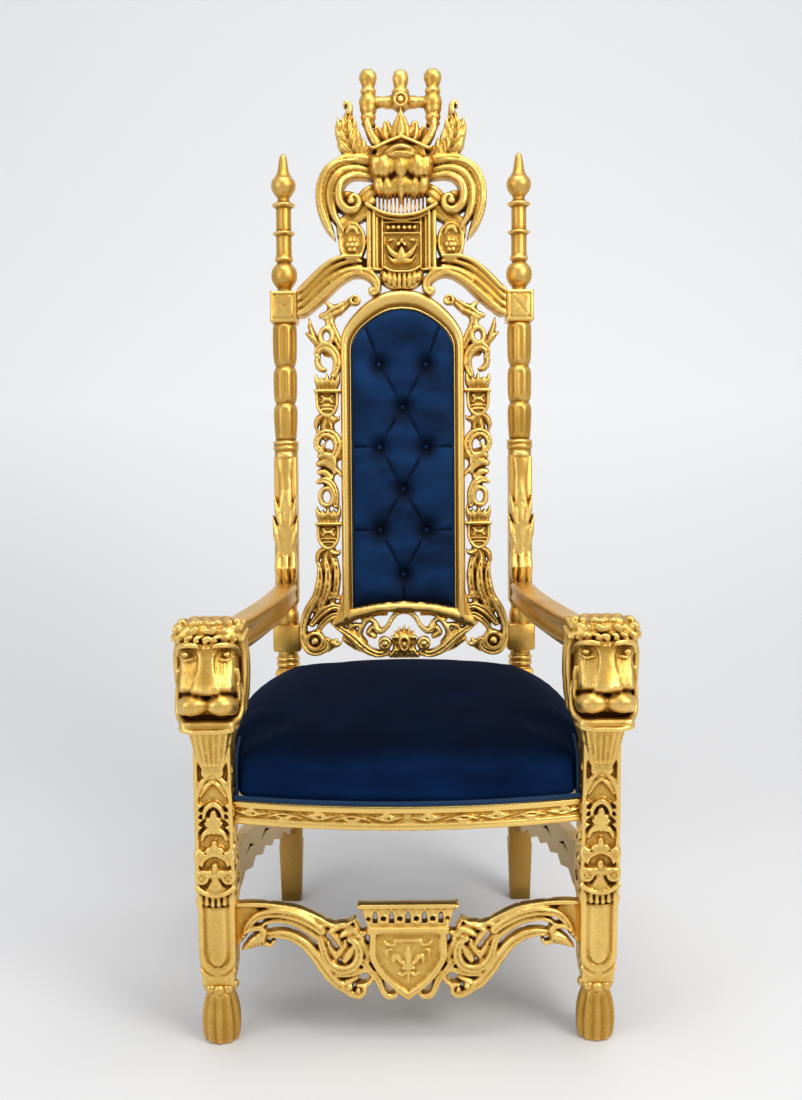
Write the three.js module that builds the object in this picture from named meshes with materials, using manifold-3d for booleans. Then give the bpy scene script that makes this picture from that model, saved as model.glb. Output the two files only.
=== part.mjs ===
import * as THREE from "three";
import { mergeVertices } from "three/addons/utils/BufferGeometryUtils.js";
import Module from "manifold-3d";

// A tall gilded throne with lion-head arms, a pierced carved crest and blue velvet upholstery.
// Millimetres, +Z up, the sitter looks along -Y. The front legs are centred on Y = 0.

const wasm = await Module();
wasm.setup();

// Driving dimensions
const gap = 0.3; // left between touching pieces
const totalHeight = 1830; // floor to the top of the crest
const leanDegrees = 6.1; // the back leans away above the seat rail
const seatRailTop = 451;
const seatRailDepth = 45;
const seatDepth = 585; // front leg centre to the face of the rear posts
const railThickness = 34;
const frontRailBow = 40;
const frontRailSetback = 20; // how far the rail's ends stand in front of the leg centre
const legInner = 303; // half distance between the front legs' inner faces
const legWidth = 66;
const legDepth = 70;
const postHalfSpacing = 258;
const postWidth = 52;
const postBlock = 61; // side of the square blocks on the rear posts
const archOuter = 135; // half width of the arched back frame
const archInner = 113;
const archSpring = 1237;
const backFrameDepth = 40;
const seatCrown = 134; // the seat's dome above its rail
const seatFrontHeight = 96;
const seatSideFall = 24; // how far the dome falls from the middle to the legs' inner sides
const armWidth = 46;
const armHeight = 46;
const armTopRear = 723;
const armTopFront = 757;
const lionTop = 773;
const lionWidth = 118;
const stretcherThickness = 28;
const stretcherTop = 260;
const sideStretcherThickness = 22;
const gimpWidth = 12;
const gimpThickness = 3;
const buttonRadius = 11;

// Derived places
const lean = THREE.MathUtils.degToRad(leanDegrees);
const postInner = postHalfSpacing - postBlock / 2;
const carvedBackHeight = 1388; // the height above the rail that the back's carving was laid out at
const backRise = (totalHeight - 450) / Math.cos(lean) / carvedBackHeight;
const legCentre = legInner + legWidth / 2;

// Heights along the leaning back, from the layout height to the real one
function up(height) {
  return 450 + (height - 450) * backRise;
}

// Heights on the front legs, as shares of the lion's top
function rise(height) {
  return height * lionTop / 773;
}

// Widths of the crest carving, stretched with the space between the rear posts
function across(x) {
  return x * postInner / 227.5;
}

// Widths of the fretwork, stretched between the arched frame and the rear posts
function beside(x) {
  return archOuter + (x - 135) * (postInner - archOuter) / 92.5;
}

// A material for each finish
const gold = new THREE.MeshStandardMaterial({ color: 0xc8963a, roughness: 0.35, metalness: 0.85, flatShading: true });
const dullGold = new THREE.MeshStandardMaterial({ color: 0xa87c3c, roughness: 0.5, metalness: 0.6, flatShading: true });
const velvet = new THREE.MeshStandardMaterial({ color: 0x12305f, roughness: 0.9, metalness: 0, flatShading: true });
const braid = new THREE.MeshStandardMaterial({ color: 0x1b4a78, roughness: 0.8, metalness: 0, flatShading: true });

// Six times the volume that a triangle list encloses, negative when its faces point inwards
function signedVolume(position, index) {
  const [a, b, c] = [new THREE.Vector3(), new THREE.Vector3(), new THREE.Vector3()];
  let sum = 0;
  for (let i = 0; i < index.length; i += 3) {
    a.fromArray(position, index[i] * 3);
    b.fromArray(position, index[i + 1] * 3);
    c.fromArray(position, index[i + 2] * 3);
    sum += a.dot(b.cross(c));
  }
  return sum;
}

// A closed three.js geometry as a solid, with its faces pointing out
function solid(geometry) {
  const bare = geometry.clone();
  for (const name of Object.keys(bare.attributes)) {
    if (name !== "position") bare.deleteAttribute(name);
  }
  const merged = mergeVertices(bare, 1e-3);
  const position = new Float32Array(merged.attributes.position.array);
  let index = Array.from(merged.index.array);
  index = removeSlivers(index);
  if (signedVolume(position, index) < 0) index.reverse();
  return new wasm.Manifold(new wasm.Mesh({
    numProp: 3,
    vertProperties: position,
    triVerts: new Uint32Array(index),
  }));
}

function removeSlivers(index) {
  const kept = [];
  for (let i = 0; i < index.length; i += 3) {
    const [a, b, c] = index.slice(i, i + 3);
    if (a !== b && b !== c && c !== a) kept.push(a, b, c);
  }
  return kept;
}

function join(solids) {
  return solids.reduce((whole, piece) => whole.add(piece));
}

function geometryOf(body) {
  const mesh = body.getMesh();
  const geometry = new THREE.BufferGeometry();
  geometry.setAttribute("position", new THREE.BufferAttribute(mesh.vertProperties, 3));
  geometry.setIndex(Array.from(mesh.triVerts));
  return geometry;
}

// Triangles that close one end ring of a loft
function capTriangles(ring, start, forward) {
  const normal = new THREE.Vector3();
  ring.forEach((point, i) => {
    const next = ring[(i + 1) % ring.length];
    normal.x += (point[1] - next[1]) * (point[2] + next[2]);
    normal.y += (point[2] - next[2]) * (point[0] + next[0]);
    normal.z += (point[0] - next[0]) * (point[1] + next[1]);
  });
  normal.normalize();
  const helper = Math.abs(normal.x) < 0.8 ? new THREE.Vector3(1, 0, 0) : new THREE.Vector3(0, 0, 1);
  const u = new THREE.Vector3().crossVectors(helper, normal).normalize();
  const v = new THREE.Vector3().crossVectors(normal, u);
  const flat = ring.map((point) => {
    const spot = new THREE.Vector3(...point);
    return new THREE.Vector2(spot.dot(u), spot.dot(v));
  });
  const ringArea = THREE.ShapeUtils.area(flat);
  const result = [];
  for (const [a, b, c] of THREE.ShapeUtils.triangulateShape(flat, [])) {
    const area = THREE.ShapeUtils.area([flat[a], flat[b], flat[c]]);
    const same = (area > 0) === (ringArea > 0);
    if (same === forward) result.push(start + a, start + b, start + c);
    else result.push(start + a, start + c, start + b);
  }
  return result;
}

// A closed solid through rings of points, all with the same count, or right round to its first ring
function loft(rings, closed = false) {
  const count = rings[0].length;
  const total = rings.length * count;
  const index = [];
  for (let i = 0; i < rings.length - (closed ? 0 : 1); i += 1) {
    for (let j = 0; j < count; j += 1) {
      const a = i * count + j;
      const b = i * count + (j + 1) % count;
      const [c, d] = [(a + count) % total, (b + count) % total];
      index.push(a, b, c, b, d, c);
    }
  }
  if (!closed) {
    index.push(...capTriangles(rings[0], 0, false));
    index.push(...capTriangles(rings.at(-1), total - count, true));
  }
  const geometry = new THREE.BufferGeometry();
  geometry.setAttribute("position", new THREE.Float32BufferAttribute(rings.flat(2), 3));
  geometry.setIndex(index);
  return geometry;
}

// The value at share t of the way along a short list
function along(list, t) {
  if (typeof list === "number") return list;
  const place = t * (list.length - 1);
  const i = Math.min(Math.floor(place), list.length - 2);
  return THREE.MathUtils.lerp(list[i], list[i + 1], place - i);
}

// The section of a carved strand: half width w, back at y = back, crest at y = front.
// One ridge makes a keeled leaf, more make rounded reeds, and none a bevelled bar.
function strandSection(w, back, front, ridges) {
  const section = [[-w, back], [w, back]];
  if (ridges === 0) return [...section, [w * 0.5, front], [-w * 0.5, front]];
  const groove = (back - front) * 0.3;
  const marks = 2 * ridges - 1;
  for (let k = 0; k < marks; k += 1) {
    const reach = marks === 1 ? 0 : 0.7 - 1.4 * k / (marks - 1);
    section.push([reach * w, k % 2 === 0 ? front : front + groove]);
  }
  return section;
}

// A strand of carving that follows a smooth path in the XZ plane
function strand(path, halfWidths, { back, front, ridges = 1, steps = path.length - 1 }) {
  const curve = new THREE.CatmullRomCurve3(path.map(([x, z]) => new THREE.Vector3(x, 0, z)));
  const rings = [];
  for (let i = 0; i <= steps; i += 1) {
    const t = i / steps;
    const point = curve.getPoint(t);
    const tangent = curve.getTangent(t);
    const section = strandSection(along(halfWidths, t), back, along(front, t), ridges);
    rings.push(section.map(([s, y]) => [point.x - s * tangent.z, y, point.z + s * tangent.x]));
  }
  return solid(loft(rings));
}

// A low boss facing the front
function boss(x, z, radiusX, radiusZ, back, front, sides = 6) {
  const ring = (scale, y) => {
    const points = [];
    for (let i = 0; i < sides; i += 1) {
      const angle = (i + 0.5) * 2 * Math.PI / sides;
      points.push([x + scale * radiusX * Math.cos(angle), y, z + scale * radiusZ * Math.sin(angle)]);
    }
    return points;
  };
  return solid(loft([ring(1, back), ring(0.55, front)]));
}

// An open ring of keeled strand round a hole
function loop(x, z, radiusX, radiusZ, halfWidth, { back, front }, sides = 5) {
  const rings = [];
  for (let i = 0; i < sides; i += 1) {
    const angle = (i + 0.5) * 2 * Math.PI / sides;
    rings.push([[-halfWidth, back], [halfWidth, back], [0, front]].map(([s, y]) => [
      x + (radiusX + s) * Math.cos(angle), y, z + (radiusZ + s) * Math.sin(angle),
    ]));
  }
  return solid(loft(rings, true));
}

// A flat shape drawn in XZ, from y = front to y = back
function plate(shape, { back, front }) {
  const geometry = new THREE.ExtrudeGeometry(shape, { depth: back - front, bevelEnabled: false, curveSegments: 6 });
  geometry.rotateX(Math.PI / 2);
  geometry.translate(0, back, 0);
  return solid(geometry);
}

function outline(points) {
  return new THREE.Shape(points.map(([x, z]) => new THREE.Vector2(x, z)));
}

function block(x0, x1, y0, y1, z0, z1) {
  const geometry = new THREE.BoxGeometry(x1 - x0, y1 - y0, z1 - z0);
  geometry.translate((x0 + x1) / 2, (y0 + y1) / 2, (z0 + z1) / 2);
  return solid(geometry);
}

// Turned work: levels of [height, radius, flute share], flutes cut into every other corner
function turned(x, y, levels, sides = 12) {
  return solid(loft(levels.map(([z, radius, flute = 0]) => {
    const ring = [];
    for (let i = 0; i < sides; i += 1) {
      const angle = (i + 0.5) * 2 * Math.PI / sides;
      const reach = radius * (i % 2 === 1 ? 1 - flute : 1);
      ring.push([x + reach * Math.cos(angle), y + reach * Math.sin(angle), z]);
    }
    return ring;
  })));
}

// A chamfered rectangle seen from above
function chamferedRing(x0, x1, y0, y1, z, chamfer) {
  return [
    [x0 + chamfer, y0, z], [x1 - chamfer, y0, z], [x1, y0 + chamfer, z], [x1, y1 - chamfer, z],
    [x1 - chamfer, y1, z], [x0 + chamfer, y1, z], [x0, y1 - chamfer, z], [x0, y0 + chamfer, z],
  ];
}

// Both halves of a symmetrical carving
function bothSides(make) {
  return [-1, 1].flatMap((side) => make(side));
}

const throne = new THREE.Group();
throne.name = "throne";

function addPiece(parent, name, body, material) {
  const mesh = new THREE.Mesh(geometryOf(body), material);
  mesh.name = name;
  parent.add(mesh);
  return mesh;
}

// The leaning back: a group that turns about the rail's top at the face of the rear posts
const backTurn = new THREE.Group();
backTurn.position.set(0, seatDepth, seatRailTop);
backTurn.rotation.x = -lean;
throne.add(backTurn);
const back = new THREE.Group();
back.position.set(0, 0, -seatRailTop);
backTurn.add(back);
throne.updateMatrixWorld(true);
const leaning = back.matrixWorld.clone();

// Rear posts

function postFlutes(low, high) {
  const length = high - low;
  return [
    [low, postWidth * 0.42], [low + length * 0.15, postWidth * 0.51, 0.16],
    [low + length * 0.75, postWidth * 0.5, 0.16],
  ];
}

function postTurning(side) {
  const x = side * postHalfSpacing;
  const y = postBlock / 2;
  const finial = [
    [up(1355), 22], [up(1367), 15], [up(1386), 27], [up(1406), 27], [up(1422), 14], [up(1431), 22],
    [up(1440), 13], [up(1480), 13], [up(1488), 25], [up(1496), 13], [up(1542), 13], [up(1550), 25],
    [up(1558), 13], [up(1578), 17], [up(1596), 28], [up(1632), 10], [up(1660), 4.5],
  ];
  const shaft = [
    [up(525), postWidth * 0.46], [up(534), postWidth * 0.42], [up(543), postWidth * 0.5], [up(556), postWidth * 0.42],
    [up(680), postWidth * 0.48], [up(990), postWidth * 0.48], [up(1016), postWidth * 0.5], [up(1018), postWidth * 0.54],
    [up(1034), postWidth * 0.54],
    ...postFlutes(up(1037), up(1116)), ...postFlutes(up(1118), up(1196)), ...postFlutes(up(1198), up(1290)),
    [up(1294), postWidth * 0.42],
  ];
  return [turned(x, y, finial, 6), turned(x, y, shaft, 8)];
}

function postBlocks(side) {
  const x = side * postHalfSpacing;
  const half = postBlock / 2;
  const stile = postWidth / 2;
  const upper = block(x - half, x + half, 0, postBlock, up(1292), up(1361));
  const lower = block(x - half, x + half, 0, postBlock, up(571), up(630));
  const straight = block(x - stile, x + stile, postBlock / 2 - stile, postBlock / 2 + stile, up(678), up(995));
  const seatBlock = block(x - stile, x + stile, 0, postWidth, up(450), up(530));
  return [upper, lower, straight, seatBlock];
}

// The acanthus bracket on the stile, with its three-ribbed scroll resting above the arm
function postBracket(side) {
  const x = side * postHalfSpacing;
  const spine = strand([[x, up(995)], [x, up(890)], [x, up(792)]], [20, 15, 23], {
    back: 14, front: [-2, -10, -16], ridges: 2,
  });
  const tongues = bothSides((turn) => strand(
    [[x + turn * 10, up(830)], [x + turn * 26, up(880)]], [12, 1], { back: 12, front: -6 },
  ));
  const scroll = strand([[x, up(788)], [x, up(754)], [x, up(727)]], [23, 25, 22], {
    back: 14, front: [-13, -25, -12], ridges: 2,
  });
  return [spine, ...tongues, scroll];
}

function rearLeg(side) {
  const x = side * postHalfSpacing;
  const levels = [[0, 22, -6], [70, 24, -4], [127, 26, 0], [132, 24, 0], [170, 26, 0], [458, 26, 0]];
  return solid(loft(levels.map(([z, half, step]) => chamferedRing(
    x - half, x + half, seatDepth + step, seatDepth + step + 2 * half, z, 4,
  ))));
}

function rearPost(side) {
  const upper = join([...postTurning(side), ...postBlocks(side), ...postBracket(side)]);
  const turnedBack = geometryOf(upper).applyMatrix4(leaning);
  return solid(turnedBack).add(rearLeg(side));
}

addPiece(throne, "back_post_left", rearPost(-1), gold);
addPiece(throne, "back_post_right", rearPost(1), gold);

// Crest

const crestBack = 30;

function crestStrand(side, path, halfWidths, options) {
  const points = path.map(([x, z]) => [side * across(x), up(z)]);
  return strand(points, halfWidths, { back: crestBack, ...options });
}

function crestKnobs() {
  const y = 8;
  const sidePost = [
    [1713, 12], [1721, 18], [1730, 12], [1740, 15], [1751, 21], [1764, 20], [1772, 13], [1782, 19],
    [1797, 12], [1813, 19], [1838, 6],
  ];
  const centrePost = [[1768, 12], [1790, 14], [1799, 12], [1812, 19], [1836, 6]];
  const sized = (levels) => levels.map(([z, radius]) => [up(z), radius]);
  const posts = bothSides((side) => turned(side * across(70), y, sized(sidePost), 6));
  const bar = solid(loft([[-62, 8], [-34, 8], [-14, 15], [14, 15], [34, 8], [62, 8]].map(([x, radius]) => {
    const ring = [];
    for (let i = 0; i < 5; i += 1) {
      const angle = i * 2 * Math.PI / 5;
      ring.push([across(x), y + radius * Math.cos(angle), up(1764) + radius * Math.sin(angle)]);
    }
    return ring;
  })));
  const rose = boss(0, up(1765), 14, 14, y, -14);
  return [...posts, turned(0, y, sized(centrePost), 6), bar, rose];
}

// The fan of leaves, the brow and the two rows of hanging petals
function crestFlower() {
  const core = boss(0, up(1634), across(62), 58, crestBack, -18, 10);
  const leaf = (side, path, widths, front, back = 14) => crestStrand(side, path, widths, { front, back });
  return [
    core,
    leaf(1, [[0, 1670], [0, 1714], [0, 1748]], [14, 20, 2], -16, crestBack),
    leaf(1, [[0, 1650], [0, 1624], [0, 1592]], [16, 21, 3], -36),
    leaf(1, [[0, 1606], [0, 1582], [0, 1552]], [18, 20, 3], -26),
    boss(0, up(1649), 37, 14, -8, -40, 8),
    ...bothSides((side) => [
      leaf(side, [[28, 1670], [34, 1726]], [17, 4], -10, crestBack),
      leaf(side, [[0, 1682], [58, 1661]], 6, -30),
      leaf(side, [[73, 1722], [46, 1664]], [9, 8], -12, crestBack),
      leaf(side, [[30, 1654], [48, 1632], [54, 1600]], [14, 19, 5], -28, 10),
      leaf(side, [[26, 1606], [40, 1564]], [17, 8], -20, 16),
    ]),
  ];
}

function crestWings(side) {
  const make = (path, widths, options) => crestStrand(side, path, widths, options);
  return [
    make([[56, 1614], [112, 1620], [152, 1608], [170, 1578], [170, 1536], [158, 1500], [143, 1466]],
      [18, 22, 26, 20, 17, 14, 3], { front: [-8, -14, -22, -18, -10], ridges: 2, steps: 7 }),
    make([[152, 1560], [144, 1532], [120, 1519], [98, 1536], [104, 1562], [122, 1576]],
      [8, 12, 13, 12, 9, 2], { front: -14 }),
    make([[52, 1566], [98, 1526], [104, 1500]], [12, 12, 8], { front: [-14, -6] }),
    make([[66, 1640], [98, 1652], [114, 1690], [113, 1730], [119, 1762]], [14, 22, 19, 12, 2],
      { front: [-6, -14, -8] }),
    make([[112, 1668], [142, 1722]], [14, 1], { front: -8 }),
    make([[60, 1650], [86, 1692]], [16, 1], { front: -8 }),
  ];
}

// The oval rosette on each side of the shield
function crestVolute(side) {
  const x = side * across(107);
  const middle = up(1463);
  const disc = boss(x, middle, 33, 45, crestBack, -2, 8);
  return [disc, boss(x, middle, 17, 26, 4, -16, 5)];
}

function crestShield() {
  const top = up(1527);
  const low = up(1405);
  const tip = up(1358);
  const half = across(75);
  const panel = across(44);
  const board = outline([
    [-half, top], [-half, low], [-panel, low - 8], [-panel * 0.8, low - 36], [0, tip],
    [panel * 0.8, low - 36], [panel, low - 8], [half, low], [half, top], [0, up(1512)],
  ]);
  const parts = [plate(board, { back: crestBack, front: -6 })];
  const make = (side, path, widths, front) => crestStrand(side, path, widths, { back: 0, front });
  parts.push(...bothSides((side) => [
    make(side, [[67, 1524], [67, 1406]], 9, -17),
    crestStrand(side, [[0, 1517], [40, 1522], [78, 1534]], [6, 6, 8], { front: -20 }),
    make(side, [[4, 1432], [24, 1458]], [7, 2], -14),
  ]));
  parts.push(make(1, [[0, 1428], [0, 1470]], [8, 2], -15));
  parts.push(make(1, [[-44, 1402], [44, 1402]], 4, -12));
  return parts;
}

// The moulded rail that climbs from the post's block to the shield, with its hook below
function crestRail(side) {
  const end = postInner - gap;
  const rail = strand([
    [side * end, up(1328)], [side * across(208), up(1340)], [side * across(178), up(1372)],
    [side * across(146), up(1400)], [side * across(112), up(1412)], [side * across(70), up(1414)],
  ], [31, 33, 36, 33, 26, 18], { back: crestBack, front: [-4, -10], ridges: 2, steps: 5 });
  const hook = strand([
    [side * across(112), up(1398)], [side * across(80), up(1398)], [side * across(58), up(1384)],
    [side * across(53), up(1366)], [side * across(60), up(1353)],
  ], [10, 9, 8, 8, 5], { back: crestBack, front: -12 });
  const inside = block(-end, end, -200, 200, up(1200), up(1900));
  return [rail.intersect(inside), hook];
}

const crest = join([
  ...crestShield(), ...crestFlower(), ...crestKnobs(),
  ...bothSides((side) => [...crestWings(side), ...crestVolute(side), ...crestRail(side)]),
]);

// Back frame

const archCrown = 1362; // layout height of the arch's top edge
const sillTop = 672;

// The arch's centre line from one foot to the other, with the half width of its moulding
function archLine() {
  const middle = (archOuter + archInner) / 2;
  const halfPath = [
    [middle + 1.5, 640, 12], [middle, archSpring, 11], [middle - 12, 1270, 14], [middle - 36, 1300, 17],
    [middle - 76, 1330, 19],
  ];
  const mirrored = halfPath.map(([x, z, w]) => [-x, z, w]);
  return [...mirrored, [0, archCrown - 21, 21], ...halfPath.reverse()];
}

// The moulding's section placed at each point of the line, drawn by half width and depth
function archRings(section) {
  const line = archLine();
  return line.map(([x, z, w], i) => {
    const before = line[Math.max(i - 1, 0)];
    const after = line[Math.min(i + 1, line.length - 1)];
    const tangent = new THREE.Vector2(after[0] - before[0], after[1] - before[1]).normalize();
    return section(w).map(([s, y]) => [x - s * tangent.y, y, up(z) + s * tangent.x]);
  });
}

function archMoulding() {
  const section = (w) => [[-w, backFrameDepth], [-w, 0], [-w * 0.1, 2], [w * 0.5, -9], [w, backFrameDepth]];
  return solid(loft(archRings(section)));
}

// Everything inside the arch's outer edge, with the clearance round it
function archSpace() {
  const edge = archRings((w) => [[w + gap, 0]]).map(([[x, , z]]) => [x, z]);
  return plate(outline(edge), { back: 100, front: -100 });
}

const fretBack = 24;
const fretStretch = (postInner - archOuter) / 92.5;

function fretStrand(side, path, halfWidths, options = {}) {
  const points = path.map(([x, z]) => [side * beside(x), up(z)]);
  const stretched = (width) => width * fretStretch;
  const widths = Array.isArray(halfWidths) ? halfWidths.map(stretched) : stretched(halfWidths);
  return strand(points, widths, { back: fretBack, front: -6, ...options });
}

// An open ring in the fretwork
function fretLoop(side, x, z, radiusX, radiusZ, halfWidth, options = {}) {
  return loop(side * beside(x), up(z), radiusX * fretStretch, radiusZ * backRise, halfWidth * fretStretch,
    { back: fretBack, front: -6, ...options });
}

// The small crown, its bar and the shield hanging from it, twice on each side
function fretCrown(side, top) {
  const at = (points) => outline(points.map(([x, z]) => [side * beside(x), up(top + z)]));
  const body = at([
    [187, 0], [176, -12], [164, 2], [151, -12], [139, 0], [144, -36], [146, -68], [165, -92], [184, -68], [186, -36],
  ]);
  return [
    plate(body, { back: fretBack, front: -3 }),
    fretStrand(side, [[188, top - 34], [130, top - 34]], 6, { front: -11 }),
  ];
}

function fretSide(side) {
  const make = (path, widths, options) => fretStrand(side, path, widths, options);
  return [
    fretLoop(side, 104, 1338, 10, 10, 6, { front: -8 }),
    make([[92, 1352], [122, 1330], [172, 1302]], [6, 16, 3]),
    make([[152, 1318], [130, 1240]], [10, 8]),
    fretLoop(side, 164, 1260, 14, 22, 7),
    make([[176, 1228], [200, 1262], [198, 1292]], [9, 11, 2]),
    make([[188, 1204], [168, 1230], [146, 1208], [152, 1170]], [6, 12, 11, 7]),
    ...fretCrown(side, 1178),
    make([[165, 1102], [165, 1040]], [8, 12]),
    make([[186, 1012], [176, 1042], [146, 1026], [166, 996]], [4, 10, 10, 8]),
    make([[172, 1002], [128, 986]], 8),
    make([[160, 1004], [180, 972], [160, 940]], [10, 15, 9]),
    fretLoop(side, 168, 914, 16, 26, 8),
    make([[168, 894], [165, 860]], 8),
    make([[200, 596], [152, 594]], 9),
    ...fretCrown(side, 882),
    make([[165, 790], [156, 730], [148, 655]], [10, 15, 9]),
    make([[174, 770], [184, 710], [222, 620]], [12, 19, 8]),
    boss(side * beside(197), up(594), 30 * fretStretch, 26, fretBack, -6, 8),
    boss(side * beside(196), up(593), 15 * fretStretch, 16, 8, -16),
    make([[200, 660], [166, 640], [130, 648]], [12, 14, 10]),
  ];
}

// The sill and the pierced lens-shaped apron below it, with its shell
function fretApron() {
  const share = archOuter / 135;
  const make = (side, path, widths, options) => strand(
    path.map(([x, z]) => [side * x * share, up(z)]), widths, { back: fretBack, front: -7, ...options });
  const sill = make(1, [[-138, 648], [-70, 662], [0, 667], [70, 662], [138, 648]], [14, 11, 9.5, 11, 14],
    { back: backFrameDepth, front: -9 });
  const shell = outline([[-34, 556], [-30, 604], [0, 626], [30, 604], [34, 556]]
    .map(([x, z]) => [x * share, up(z)]));
  return [
    sill,
    plate(shell, { back: fretBack, front: -7 }),
    boss(0, up(590), 11, 15, 0, -18),
    ...bothSides((side) => [
      make(side, [[176, 600], [136, 590], [94, 584], [30, 564]], [9, 9, 9, 9]),
      boss(side * 43 * share, up(588), 15, 15, fretBack, -15),
      make(side, [[148, 640], [98, 586]], 8),
      make(side, [[46, 596], [20, 656]], 7),
      make(side, [[92, 588], [60, 656]], 8),
    ]),
  ];
}

const backFrameWhole = join([archMoulding(), ...fretApron(), ...bothSides((side) => fretSide(side))]);
const betweenPosts = block(-postInner + gap, postInner - gap, -60, 120, up(500), up(1500));
const backFrameFull = backFrameWhole.intersect(betweenPosts);

// The crest stands on the arch, cut to its outer edge
const crestClear = crest.subtract(archSpace());

addPiece(back, "crest", crestClear, gold);
addPiece(back, "back_frame", backFrameFull, gold);

// Tufted back cushion

const buttonPlaces = [
  [-51, 1200], [51, 1200], [0, 1107], [-51, 1020], [51, 1020], [0, 928], [-51, 838], [51, 838], [0, 740],
];
const cushionClear = 2;
const cushionBack = 34;

// Half width of the opening at a height, less the cushion's clearance
function openingHalf(z) {
  const crown = archCrown - 44;
  const straight = archInner - cushionClear;
  if (z <= archSpring - 12) return straight;
  const share = (z - (archSpring - 12)) / (crown - archSpring + 12);
  return Math.max(straight * Math.pow(1 - Math.pow(share, 1.55), 0.8), 4);
}

// How far the velvet stands proud of the frame's face at a point
function tuftDepth(x, z) {
  const side = x / archInner;
  let proud = 16 * (1 - side * side);
  for (const [bx, bz] of buttonPlaces) {
    const distance = Math.hypot(x - bx, z - bz);
    proud -= 20 * Math.exp(-Math.pow(distance / 22, 2));
  }
  return proud;
}

function backCushion() {
  const bottom = sillTop + 12;
  const crown = archCrown - 46;
  const rows = [bottom, 740, 790, 838, 884, 928, 974, 1020, 1064, 1107, 1154, 1200, 1240, 1276, 1300, crown];
  const columns = [-1, -0.69, -0.46, -0.22, 0, 0.22, 0.46, 0.69, 1];
  const rings = rows.map((z) => {
    const half = openingHalf(z);
    const front = columns.map((share) => {
      const x = half * share;
      const edge = Math.abs(share) === 1 || z === bottom || z === crown;
      return [x, edge ? 6 : 4 - tuftDepth(x, z), up(z)];
    });
    return [...front, [half, cushionBack, up(z)], [-half, cushionBack, up(z)]];
  });
  return solid(loft(rings));
}

// A covered button, coned behind so that its rim sits in the tuft
function backButton(x, z) {
  const depth = buttonRadius * 0.8;
  const rim = 4 - tuftDepth(x, z) - depth - gap;
  const button = new THREE.LatheGeometry([
    new THREE.Vector2(0, -depth), new THREE.Vector2(buttonRadius, 0), new THREE.Vector2(0, 5),
  ], 8);
  button.rotateX(Math.PI);
  button.translate(x, rim, up(z));
  return solid(button);
}

addPiece(back, "back_cushion", backCushion(), velvet);
buttonPlaces.forEach(([x, z], i) => addPiece(back, `back_button_${i + 1}`, backButton(x, z), velvet));

// Seat frame

const railBottom = seatRailTop - seatRailDepth;
const legFront = -legDepth / 2;
const legBack = legDepth / 2;

function frontRailLine(x) {
  const share = x / legInner;
  return -frontRailSetback - frontRailBow * (1 - share * share);
}

function frontRail() {
  const end = legInner - gap;
  const steps = 8;
  const rings = [];
  for (let i = 0; i <= steps; i += 1) {
    const x = end * (2 * i / steps - 1);
    const y = frontRailLine(x);
    rings.push([
      [x, y + railThickness, railBottom], [x, y, railBottom], [x, y, railBottom + 9], [x, y + 5, railBottom + 12],
      [x, y + 5, seatRailTop - 12], [x, y, seatRailTop - 9], [x, y, seatRailTop], [x, y + railThickness, seatRailTop],
    ]);
  }
  const parts = [solid(loft(rings))];
  const leaves = 6;
  for (let i = 0; i < leaves; i += 1) {
    const x = (i - (leaves - 1) / 2) * 2 * (end - 14) / leaves;
    const leaf = new THREE.OctahedronGeometry(1);
    leaf.scale(42, 6, 8);
    leaf.rotateY(i < leaves / 2 ? 0.15 : -0.15);
    leaf.translate(x, frontRailLine(x) + 6, railBottom + seatRailDepth / 2);
    parts.push(solid(leaf));
  }
  return join(parts);
}

function sideRail(side) {
  const frontX = legCentre;
  const shape = new THREE.Shape([
    [frontX - railThickness / 2, legBack + gap], [frontX + railThickness / 2, legBack + gap],
    [postHalfSpacing + railThickness / 2, seatDepth - gap], [postHalfSpacing - railThickness / 2, seatDepth - gap],
  ].map(([x, y]) => new THREE.Vector2(side * x, y)));
  const geometry = new THREE.ExtrudeGeometry(shape, { depth: seatRailDepth, bevelEnabled: false });
  geometry.translate(0, 0, railBottom);
  return solid(geometry);
}

addPiece(throne, "front_rail", frontRail(), gold);
addPiece(throne, "side_rail_left", sideRail(-1), dullGold);
addPiece(throne, "side_rail_right", sideRail(1), dullGold);
const backRailHalf = postHalfSpacing - postWidth / 2 - gap;
addPiece(throne, "back_rail", block(-backRailHalf, backRailHalf, seatDepth + 8, seatDepth + 8 + railThickness,
  railBottom, seatRailTop), dullGold);

// Seat cushion

const seatCentre = 300;
const seatClear = 5;

function seatDome(x, y) {
  const top = seatRailTop + seatCrown;
  const side = x / legInner;
  const front = (y - seatCentre) / (seatCentre + frontRailSetback + frontRailBow);
  return top - seatSideFall * side * side - (seatCrown - seatFrontHeight) * front * front;
}

// The cushion's plan: a bowed front between the legs, a notch at each, then the tapering sides
function seatPlan() {
  const half = [];
  const frontSteps = 5;
  const frontHalf = legInner - seatClear;
  for (let i = 0; i <= frontSteps; i += 1) {
    const x = frontHalf * i / frontSteps;
    half.push([x, frontRailLine(x) - 3]);
  }
  const bulge = (y) => 5 * Math.sin(Math.PI * (y - legBack) / (seatDepth - legBack));
  const sideAt = (y) => THREE.MathUtils.mapLinear(y, legBack, seatDepth, legCentre, postHalfSpacing) + 8 + bulge(y);
  const notch = legBack + seatClear + 4;
  const rear = seatDepth - seatClear;
  half.push([frontHalf, notch], [sideAt(notch), notch], [sideAt(170), 170], [sideAt(300), 300], [sideAt(440), 440]);
  half.push([sideAt(rear), rear], [120, rear + 3]);
  const mirrored = half.slice(1).reverse().map(([x, y]) => [-x, y]);
  return [...mirrored, ...half];
}

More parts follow.
